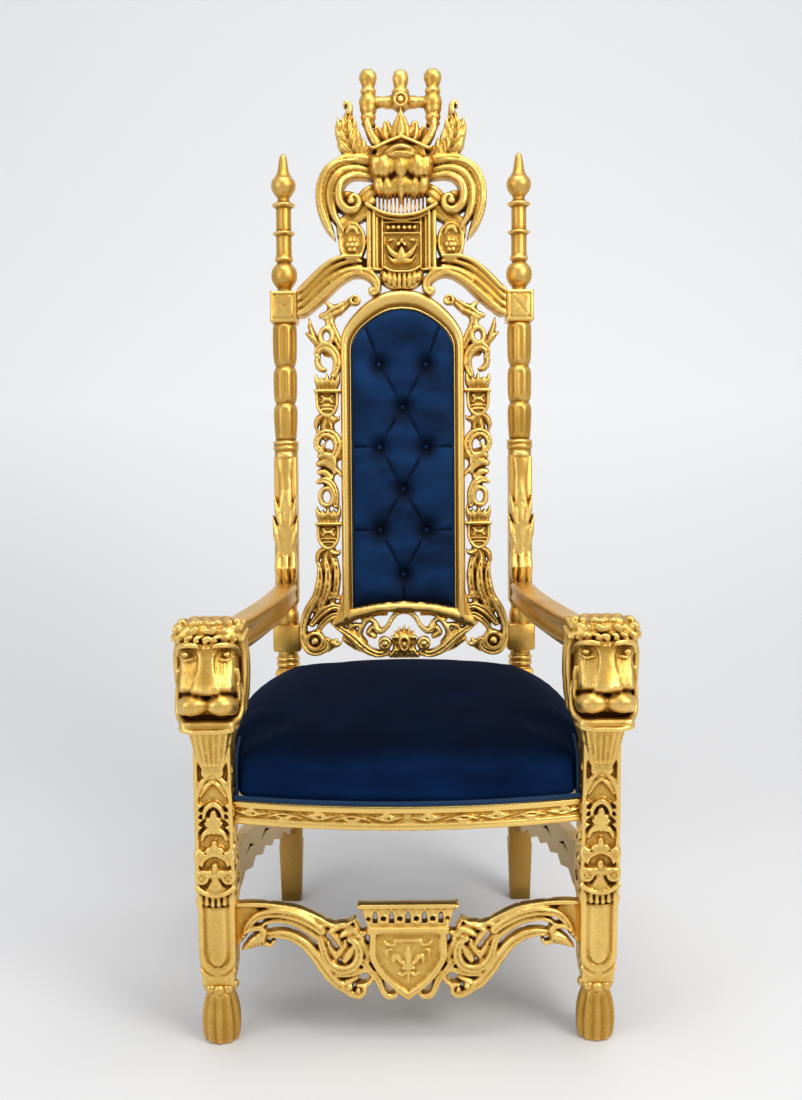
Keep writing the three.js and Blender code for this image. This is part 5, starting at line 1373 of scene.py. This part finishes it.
def make_legs():
    def stand(points):
        return from_front(points + [LEG_X, 0, 0])

    right = [shape.moved(stand) for shape in (leg_relief(), lion_head(), *leg_foot())]
    piece("lion_leg_right", right, GOLD, "gilded_wood", "front_leg_right")
    piece("lion_leg_left", [shape.mirrored() for shape in right], GOLD, "gilded_wood", "front_leg_left")


# Arms

def make_arms():
    line = smooth_line([(POST_X, 596), (POST_X + 2, 560), (POST_X + 8, 460), (POST_X + 20, 340), (POST_X + 46, 160),
                        (LEG_X - 16, 70), (LEG_X - 13, 40)], 6)
    share = np.linspace(0, 1, len(line))
    top = 723 + 34 * share ** 2
    low = top - 46 - 14 * share
    run = np.gradient(line, axis=0)
    run /= np.linalg.norm(run, axis=1, keepdims=True)
    rings = []
    for (x, y), (dx, dy), high, base in zip(line, run, top, low):
        section = [(-23, base + 9), (-23.5, base + 16), (-21, base + 19), (-21, high - 15), (-24, high - 12), (-24, high - 5),
                   (-20, high - 1), (-14, high), (0, high + 0.6), (14, high), (20, high - 1), (24, high - 5), (24, high - 12),
                   (21, high - 15), (21, base + 19), (23.5, base + 16), (23, base + 9), (17, base + 1), (0, base),
                   (-17, base + 1)]
        rings.append([(x - dy * s, y + dx * s, z) for s, z in section])
    arm = tube(rings, 0.25).moved(from_front)
    piece("arm_rest_right", [arm], GOLD, "gilded_wood", "arm_right")
    piece("arm_rest_left", [arm.mirrored()], GOLD, "gilded_wood", "arm_left")


# Front rail and stretcher

def front_rail_line(x):
    return -20 - 40 * (1 - (x / LEG_INNER) ** 2)


def make_front_rail():
    """The bowed rail: beads along both edges and a slim wavy vine between them."""
    panel = Panel((0, RAIL_BOTTOM - 2), (LEG_INNER, RAIL_TOP + 2), 2.0)
    low, high = RAIL_BOTTOM, RAIL_TOP
    panel.slab([(-20, low), (LEG_INNER - 1, low), (LEG_INNER - 1, high - 1), (-20, high - 1)], 7, rear=34, bevel=2)
    for z, half, front in ((low + 4.5, 4.5, -1), (low + 12, 2, 1), (high - 12, 2, 1), (high - 5.5, 4.5, -1)):
        panel.stroke([(-10, z, half), (LEG_INNER, z, half)], front, half, rear=20)
    middle = (low + high) / 2
    waves = 5
    length = (LEG_INNER - 8) / waves
    for i in range(waves):
        x = 6 + i * length
        lift = 3.4 if i % 2 else -3.4
        panel.stroke([(x, middle - lift, 1.6), (x + length / 2, middle + lift, 2.4), (x + length, middle - lift, 1.6)],
                     0.5, 4, rear=20)
        panel.stroke([(x + length * 0.18, middle, 1.2), (x + length * 0.5, middle - lift * 1.4, 4),
                      (x + length * 0.8, middle - lift * 0.4, 1)], 0, 5, section=ribbed, rear=20)
    carving = field_shape(*panel.field(True), panel.step, reach=5)

    def bowed(points):
        return from_front(points + np.column_stack([0 * points[:, 0], front_rail_line(points[:, 0]), 0 * points[:, 0]]))

    piece("front_rail_carving", [carving.moved(bowed)], GOLD, "gilded_wood", "front_rail")


def make_stretcher():
    """The front stretcher: a crown and shield in the middle, pierced scrolls and a reeded rail on each side."""
    rear = -1.0
    panel = Panel((0, 72), (LEG_INNER, 264), 1.9, fuller=1.08, deeper=1.3)
    crown_low, crown_high = 212, 260
    panel.slab([(-70, crown_low), (70, crown_low), (86, crown_high - 3), (88, crown_high), (-88, crown_high)], -25, rear=rear)
    panel.stroke([(0, crown_high - 4, 4), (87, crown_high - 4, 4)], -30, 4, rear=rear)
    for x in (0, 29, 58):
        panel.pierce([(x - 4.5, 224), (x + 4.5, 224), (x + 2.6, 240), (x, 247), (x - 2.6, 240)])
        panel.stroke([(x + 6.5, 224, 1.6), (x + 5, 242, 1.6), (x, 250, 1.6), (x - 5, 242, 1.6), (x - 6.5, 224, 1.6)], -27.5,
                     2.5, rear=-10)
    for x in (14.5, 43.5):
        panel.pierce([(x + 4.6 * math.cos(a), 233 + 4.6 * math.sin(a)) for a in np.linspace(0, 2 * math.pi, 12)[:-1]])
        panel.ring(x, 233, (6.6, 6.6), 1.6, -27.5, 2.5, rear=-10)
    panel.dent(70, 231, (4, 4.5), 9)
    for z, half, front in ((214, 3.6, -31), (206.5, 2.6, -29)):
        panel.stroke([(0, z, half), (70, z, half)], front, half, rear=rear)
    shield = [(0, 205), (67, 205), (68, 166), (62, 146), (46, 122), (26, 102), (0, 80), (-26, 102), (-46, 122), (-62, 146),
              (-68, 166), (-67, 205)]
    panel.slab(shield, -22, rear=rear)
    panel.stroke([(62, 203, 6), (63, 166, 6), (57, 148, 6), (43, 126, 6), (24, 106, 6), (0, 87, 7)], -29, 5,
                 section=reeded(2), rear=rear)
    panel.stroke([(0, 110, 2), (0, 130, 3), (0, 150, 2)], -26, 4, rear=-10)
    panel.stroke([(0, 142, 5), (0, 156, 6.5), (0, 170, 4), (0, 178, 1)], -28, 5, section=ribbed, rear=-10)
    panel.stroke([(3, 144, 3), (13, 152, 4), (21, 162, 4), (27, 158, 3.6), (25, 149, 2)], -27, 4, rear=-10)
    panel.stroke([(2, 134, 2.6), (11, 126, 3.4), (18, 130, 2.4)], -26, 4, rear=-10)
    panel.stroke([(0, 140, 3.4), (10, 140, 3)], -28, 4, rear=-10)
    panel.stroke([(0, 191, 3), (22, 191, 3), (24, 183, 2.4), (36, 183, 2.6), (42, 189, 2)], -26, 4, rear=-10)
    panel.stroke([(30, 175, 2), (38, 172, 3), (36, 164, 2)], -26, 4, rear=-10)
    # The rail between the leg and the scrolls
    panel.slab([(304, 258), (270, 258), (262, 244), (270, 222), (286, 196), (304, 176)], -14, rear=rear)
    panel.stroke([(304, 257, 4), (270, 257, 5), (236, 254, 5), (194, 246, 6), (152, 226, 6)], -20, 4, rear=rear)
    panel.stroke([(292, 198, 5), (280, 222, 7), (262, 238, 8), (232, 243, 9), (200, 238, 9.5), (172, 224, 9),
                  (152, 208, 8)], [-20, -24, -26, -27, -27, -25], 8, section=reeded(2), rear=rear)
    panel.stroke([(262, 214, 2), (250, 224, 4), (228, 228, 5), (200, 222, 6), (176, 208, 6), (162, 196, 5)], -22, 6, rear=rear)
    panel.stroke([(255, 188, 4), (250, 198, 6), (230, 202, 8.5), (206, 197, 9.5), (184, 184, 10), (164, 160, 10.5),
                  (146, 132, 10.5), (126, 108, 10), (108, 96, 8)], [-18, -22, -25, -26, -26, -24], 7, section=reeded(2),
                 rear=rear)
    panel.stroke([(254, 186, 3.5), (244, 180, 4), (238, 188, 3.5)], -20, 4, rear=rear)
    ribs = 6
    for i in range(ribs):
        share = i / (ribs - 1)
        panel.stroke([(252 + 6 * share, 212 - 4 * share, 3), (255 + 22 * share, 198 - 4 * share, 3.6),
                      (256 + 37 * share, 182 - 8 * share, 2.6)], [-21, -28, -22], 8, rear=rear)
    panel.stroke([(252, 206, 4), (262, 214, 5), (278, 212, 4), (290, 204, 2)], -24, 5, rear=rear)
    # Leaves on the rail's shoulder
    for points, front in (
            ([(160, 214, 5), (146, 220, 6), (132, 217, 5), (120, 208, 1)], -24), ([(138, 206, 5), (124, 216, 7), (108, 220, 5), (92, 232, 1)], -26),
            ([(118, 200, 5), (104, 208, 8), (90, 214, 6), (96, 230, 1)], -27), ([(104, 196, 5), (88, 198, 8), (74, 204, 5)], -24),
            ([(160, 204, 7), (150, 190, 6), (156, 172, 5)], -20), ([(136, 206, 5), (127, 194, 7), (120, 180, 4)], -24),
            ([(100, 214, 5), (90, 202, 7), (80, 192, 5)], -25)):
        panel.stroke(points, front, 7, section=ribbed, rear=rear)
    # Scrolls
    panel.stroke([(158, 196, 6), (152, 178, 7), (146, 158, 7.5), (134, 142, 8), (116, 136, 8.5), (98, 142, 9), (88, 158, 9),
                  (88, 176, 8), (96, 188, 6), (106, 192, 3)], [-22, -24, -26, -28, -27, -25], 7, section=reeded(2), rear=rear)
    panel.stroke([(132, 150, 5), (122, 164, 6.5), (112, 180, 6), (112, 190, 3)], [-20, -24], 6, section=ribbed, rear=rear)
    panel.stroke([(112, 154, 6), (104, 166, 7), (98, 178, 4)], -26, 6, rear=rear)
    panel.stroke([(142, 186, 3), (136, 170, 6), (128, 158, 6)], -22, 6, section=ribbed, rear=rear)
    panel.stroke([(84, 190, 4), (76, 178, 6), (72, 164, 6), (72, 150, 5)], -24, 6, rear=rear)
    panel.stroke([(86, 156, 6), (76, 146, 7), (66, 132, 7), (54, 118, 7), (48, 102, 6), (42, 90, 6), (32, 84, 6), (22, 88, 4),
                  (20, 96, 3)], [-24, -26, -27, -26], 6, section=reeded(2), rear=rear)
    panel.stroke([(60, 122, 5), (52, 134, 4), (46, 126, 3)], -25, 5, rear=rear)
    panel.stroke([(126, 128, 6), (108, 128, 6.5), (90, 132, 6), (74, 136, 5)], -25, 6, section=reeded(2), rear=rear)
    panel.stroke([(120, 106, 7), (104, 112, 7), (92, 120, 5)], -24, 7, section=ribbed, rear=rear)
    panel.stroke([(116, 100, 6), (102, 90, 7), (88, 86, 6), (78, 94, 5.5), (80, 106, 5), (90, 108, 3.4)], [-25, -27, -28], 6,
                 rear=rear)
    panel.boss(89, 98, (5.5, 5.5), -29, 6, rear=rear)
    panel.stroke([(78, 104, 4), (68, 112, 5), (62, 122, 4)], -24, 5, rear=rear)
    panel.boss(104, 104, (6, 6), -28, 6, rear=rear)
    carving = field_shape(*panel.field(True), panel.step, reach=6).moved(from_front)
    piece("stretcher_carving", [carving], GOLD, "gilded_wood", "front_stretcher")


# Upholstery

BUTTONS = [(x, z) for z in (1200, 1020, 838) for x in (-51, 51)] + [(0, z) for z in (1107, 928, 740)]
PAD_LOW, PAD_HIGH, PAD_HALF = 684.0, 1318.0, 110.5


def pad_half(z):
    """Half width of the pad at a height."""
    share = np.clip((z - 1226) / (PAD_HIGH - 1226), 0, 1)
    return PAD_HALF * np.clip(1 - share ** 1.9, 0, 1) ** 0.62


def pad_depth(x, z):
    """Depth of the velvet's face: full between the buttons, drawn in at each and along the pleats; with it the painted
    shade for the tufts, the pleats' creases and the pad's lower edge.
    """
    side = np.abs(x) / PAD_HALF
    edge = np.minimum(np.minimum(pad_half(z) - np.abs(x), z - PAD_LOW), (PAD_HIGH - z) * 1.0)
    proud = 20 * np.sqrt(np.clip(edge / 34, 0, 1) * (2 - np.clip(edge / 34, 0, 1))) * (1 - 0.12 * side ** 2)
    drawn = np.zeros_like(x)
    # Painted shadow along the pad's lower edge.
    shade = np.clip((PAD_LOW + 22 - z) / 22, 0, 0.9)
    for bx, bz in BUTTONS:
        apart = np.hypot(x - bx, (z - bz) * 0.92)
        drawn = np.maximum(drawn, 29 * np.exp(-((apart / 17) ** 1.15)))
        # Painted shade round each button, reaching further below it.
        shade = np.maximum(shade, 1.25 - np.hypot(x - bx, (z - bz + 4) * 0.9) / 28)
    pleats = [((0, 1107), (side * 51, z)) for side in (-1, 1) for z in (1200, 1020)]
    pleats += [((0, 928), (side * 51, z)) for side in (-1, 1) for z in (1020, 838)]
    pleats += [((0, 740), (side * 51, 838)) for side in (-1, 1)]
    pleats += [((side * 51, z), (side * 112, z)) for side in (-1, 1) for z in (1020, 838)]
    pleats += [((0, 740), (0, 684)), *(((side * 51, 1200), (side * 84, 1290)) for side in (-1, 1))]
    for a, b in pleats:
        a, b = np.array(a, dtype=float), np.array(b, dtype=float)
        run = b - a
        share = np.clip(((x - a[0]) * run[0] + (z - a[1]) * run[1]) / (run ** 2).sum(), 0, 1)
        apart = np.hypot(x - a[0] - share * run[0], z - a[1] - share * run[1])
        drawn = np.maximum(drawn, 9 * np.exp(-apart / 5.0))
        # Painted shade along each pleat's crease.
        shade = np.maximum(shade, 0.95 * np.exp(-(apart / 2.6) ** 2))
    return 5 - proud + drawn, np.clip(0.4 + 0.6 * shade, 0.4, 1)


def pad_drop(x, z):
    """How far the pad's lower edge hangs down to the curved rail below it."""
    return (7 + 11 * (x / PAD_HALF) ** 2) * np.clip((PAD_LOW + 40 - z) / 40, 0, 1)


def make_pad():
    heights = np.concatenate([np.arange(PAD_LOW, 1226, 3.2), 1226 + (PAD_HIGH - 0.6 - 1226) * np.linspace(0, 1, 34)])
    shares = np.sin(np.linspace(-1, 1, 81) * math.pi / 2)
    shares = 0.55 * shares + 0.45 * np.linspace(-1, 1, 81)
    half = pad_half(heights)[:, None]
    x = half * shares[None, :]
    z = np.broadcast_to(heights[:, None], x.shape)
    # sunk is the painted shade from pad_depth; it goes into the hollow attribute, with an even 0.4 on the rear.
    depth, sunk = pad_depth(x, z)
    front = np.stack([x, depth, z - pad_drop(x, z)], axis=2)
    rear = np.stack([x[:, ::-1], np.full_like(x, 30.0), z - pad_drop(x, z)], axis=2)[:, ::8]
    hollow = np.concatenate([sunk, np.full(rear.shape[:2], 0.4)], axis=1)
    pad = tube(np.concatenate([front, rear], axis=1), hollow).moved(from_back)
    cushion = piece("tufted_pad", [pad], VELVET, "velvet", "back_cushion")
    for i, (bx, bz) in enumerate(BUTTONS):
        depth = float(pad_depth(np.array([float(bx)]), np.array([float(bz)]))[0][0])
        levels = [(-6, 2), (-4, 9), (-1, 11.5), (2, 10), (4.4, 6), (5.4, 1)]
        button = lathe(0, 0, levels, 24, 3)
        button = Shape(button.points[:, [0, 2, 1]] * [1, -1, 1] + [bx, depth - 1, bz], button.quads, button.triangles,
                       0.4).facing_out()
        number = 1 + sorted(range(len(BUTTONS)), key=lambda k: (-BUTTONS[k][1], BUTTONS[k][0])).index(i)
        covered = piece(f"covered_button_{number}", [button.moved(from_back)], VELVET, "velvet", f"back_button_{number}")
    edge_z = np.concatenate([heights[::2], [PAD_HIGH]])
    right = np.column_stack([pad_half(edge_z) - 1, np.full(len(edge_z), 3.0), edge_z])
    right[-1, 0] = 0
    bottom = np.column_stack([np.linspace(0, PAD_HALF - 4, 20), np.full(20, 3.0), np.full(20, PAD_LOW + 2)])
    half_line = np.vstack([bottom[:-1], right])
    line = np.vstack([half_line, half_line[-2:0:-1] * [-1, 1, 1]])
    line[:, 2] -= pad_drop(line[:, 0], line[:, 2])
    cord = rope(line, 2.6, 9, loop=True, up=(0, 1, 0))
    piece("pad_braid", [cord.moved(from_back)], BRAID, "braid", "back_cushion")


def seat_plan():
    """The seat's outline, from the middle of its front round the right side to the middle of its rear."""
    x = np.linspace(0, LEG_INNER - 6, 16)
    front = np.column_stack([x, front_rail_line(x) - 2])
    side = smooth_line([(LEG_X + 4, 44), (LEG_X + 2, 120), (LEG_X - 14, 280), (LEG_X - 42, 440), (POST_X + 6, 572)], 8)
    notch = np.array([(LEG_INNER - 4, 10), (LEG_INNER - 2, 34), (LEG_INNER + 8, 43)])
    rear = np.column_stack([np.linspace(POST_X - 10, 0, 14), np.full(14, 583.0)])
    return np.vstack([front, notch, side, rear])


def make_seat():
    half = seat_plan()
    whole = np.vstack([half, half[-2:0:-1] * [-1, 1]])
    centre = np.array([0, 300.0])

    def dome(x, y):
        ahead = (y - centre[1]) / 360
        return RAIL_TOP + 131 - 20 * (x / LEG_INNER) ** 2 - 38 * ahead ** 2

    rings = []
    for share, drop in ((0.985, None), (0.992, 44), (0.985, 28), (0.965, 13), (0.93, 4), (0.87, 1), (0.78, 0), (0.66, 0),
                        (0.52, 0), (0.37, 0), (0.21, 0), (0.07, 0)):
        x, y = (centre + (whole - centre) * (share + 0.6 * (1 - share) * share ** 4, share)).T
        z = np.full(len(x), RAIL_TOP + 1.0) if drop is None else dome(x, y) - drop
        rings.append(np.column_stack([x, y, z]))
    made = piece("domed_seat", [tube(rings, 0.4).moved(from_front)], SEAT_VELVET, "velvet", "seat_cushion")
    stuffed(made, 9.0, 6.0)
    line = np.column_stack([whole * 1.0, np.full(len(whole), RAIL_TOP + 6.0)])
    line[:, :2] = centre + (line[:, :2] - centre) * 1.003
    parts = [rope(line, 4.6, 15, loop=True)]
    for side in (-1, 1):
        x = side * (LEG_INNER - 7)
        front = front_rail_line(abs(x))
        welt = smooth_line([(front + 2, 12), (front + 3, 50), (front + 12, 78), (20, 90), (40, 95)], 6)
        places = [(x, y, RAIL_TOP + rise) for y, rise in welt]
        parts.append(rope(places, 2.6, 9, sides=12))
    piece("seat_braid", [part.moved(from_front) for part in parts], BRAID, "braid", "seat_gimp")


def stuffed(made, voxel_mm, reach_mm):
    """Lets pressure swell the cover, with the part that is tacked to the rails held, then keeps that shape."""
    remesh = made.modifiers.new("even", "REMESH")
    remesh.mode = "VOXEL"
    remesh.voxel_size = voxel_mm * MM
    bpy.context.view_layer.objects.active = made
    bpy.ops.object.modifier_apply(modifier=remesh.name)
    places = np.empty(len(made.data.vertices) * 3)
    made.data.vertices.foreach_get("co", places)
    before = places.reshape(-1, 3)
    tacked = made.vertex_groups.new(name="tacked")
    tacked.add([int(i) for i in np.flatnonzero(before[:, 2] < (RAIL_TOP + 14) * MM)], 1.0, "REPLACE")
    cloth = made.modifiers.new("cover", "CLOTH")
    cloth.settings.use_pressure = True
    cloth.settings.uniform_pressure_force = 4.0
    cloth.settings.effector_weights.gravity = 0
    cloth.settings.vertex_group_mass = "tacked"
    cloth.settings.quality = 5
    scene = bpy.context.scene
    for step in range(1, 17):
        scene.frame_set(step)
    bpy.ops.object.modifier_apply(modifier=cloth.name)
    scene.frame_set(1)
    swollen = np.empty_like(places)
    made.data.vertices.foreach_get("co", swollen)
    moved = swollen.reshape(-1, 3) - before
    far = np.linalg.norm(moved, axis=1, keepdims=True)
    kept = before + moved * np.minimum(1, reach_mm * MM / np.maximum(far, 1e-9))
    made.data.vertices.foreach_set("co", kept.ravel())
    made.vertex_groups.clear()
    smooth = made.modifiers.new("soft", "SMOOTH")
    smooth.iterations = 4
    finer = made.modifiers.new("finer", "SUBSURF")
    finer.levels = 1
    for modifier in (smooth, finer):
        bpy.ops.object.modifier_apply(modifier=modifier.name)
    made.data.polygons.foreach_set("use_smooth", np.ones(len(made.data.polygons), dtype=bool))


def finish_boards():
    """The boards that keep the frame's own form."""
    for node in ("side_rail_left", "side_rail_right", "back_rail", "side_stretcher_left", "side_stretcher_right"):
        for place in bpy.data.objects[node].material_slots:
            place.material = BRONZE


make_back_frame()
make_posts()
make_legs()
make_arms()
make_front_rail()
make_stretcher()
make_pad()
make_seat()
finish_boards()


# Stage, light and camera

def camera_at_photo():
    """The camera, fitted to the photograph, in the frame's places."""
    focal_px, picture_height_px, sensor_mm = 1278.0, 1100.0, 36.0
    place = Vector((-15.4, -2152.6 + LEG_MIDDLE_Y, 1209.4)) * MM
    pitch, yaw, roll = (math.radians(value) for value in (8.56, 0.198, 0.382))
    forward = Vector((math.sin(yaw) * math.cos(pitch), math.cos(yaw) * math.cos(pitch), -math.sin(pitch)))
    right = forward.cross(Vector((0, 0, 1))).normalized()
    above = right.cross(forward)
    right, above = right * math.cos(roll) - above * math.sin(roll), above * math.cos(roll) + right * math.sin(roll)
    data = bpy.data.cameras.new("camera")
    data.sensor_width = sensor_mm
    data.lens = focal_px * sensor_mm / picture_height_px
    camera = bpy.data.objects.new("camera", data)
    camera.matrix_world = Matrix((
        (right.x, above.x, -forward.x, place.x), (right.y, above.y, -forward.y, place.y),
        (right.z, above.z, -forward.z, place.z), (0, 0, 0, 1),
    ))
    bpy.context.scene.collection.objects.link(camera)
    bpy.context.scene.camera = camera


def area_light(name, place, target, size, power, color=(1, 1, 1)):
    data = bpy.data.lights.new(name, "AREA")
    data.shape = "RECTANGLE"
    data.size, data.size_y = size
    data.energy = power
    data.color = color
    lamp = bpy.data.objects.new(name, data)
    lamp.location = place
    lamp.rotation_euler = (Vector(target) - Vector(place)).to_track_quat("-Z", "Y").to_euler()
    bpy.context.scene.collection.objects.link(lamp)


def studio():
    """A pale floor that sweeps up behind, and soft light from above and both sides."""
    turn = np.linspace(-math.pi / 2, 0, 40)
    sweep = [(-6.0, 0.0), *((0.9 + 3.2 * math.cos(a), 3.2 + 3.2 * math.sin(a)) for a in turn), (4.1, 7.0)]
    points = [(x, y, z) for x in (-6.0, 6.0) for y, z in sweep]
    count = len(sweep)
    faces = [(i, i + 1, count + i + 1, count + i) for i in range(count - 1)]
    mesh = mesh_of("floor", points, faces)
    material = bpy.data.materials.new("pale_floor")
    material.use_nodes = True
    _, links, make = node_tools(material)
    shader = material.node_tree.nodes["Principled BSDF"]
    place = make("ShaderNodeSeparateXYZ")
    links.new(make("ShaderNodeTexCoord").outputs["Object"], place.inputs[0])
    # Painted light: the sweep's colour grows paler as it rises, so the wall behind reads brighter than the floor.
    rise = calculated(make, "DIVIDE", place.outputs["Z"], 2.0, clamp=True)
    links.new(ramp(make, rise, [(0.0, (0.71, 0.71, 0.715)), (0.5, (0.92, 0.92, 0.925))]), shader.inputs["Base Color"])
    shader.inputs["Roughness"].default_value = 0.6
    mesh.materials.append(material)
    floor = bpy.data.objects.new("floor", mesh)
    bpy.context.scene.collection.objects.link(floor)

    world = bpy.data.worlds.new("studio") if bpy.context.scene.world is None else bpy.context.scene.world
    bpy.context.scene.world = world
    world.use_nodes = True
    backdrop = world.node_tree.nodes["Background"]
    backdrop.inputs["Color"].default_value = (0.95, 0.97, 1.0, 1)
    backdrop.inputs["Strength"].default_value = 0.7
    area_light("key", (2.3, -2.4, 3.0), (0, 0, 1.1), (1.6, 1.6), 66, (1.0, 0.97, 0.92))
    area_light("fill", (-2.6, -2.2, 2.0), (0, 0, 1.0), (1.4, 2.2), 18, (0.94, 0.97, 1.0))
    area_light("top", (0.2, -0.6, 3.7), (0, 0.1, 0.6), (2.2, 1.6), 48)


camera_at_photo()
studio()
bpy.context.scene.view_settings.view_transform = "Standard"
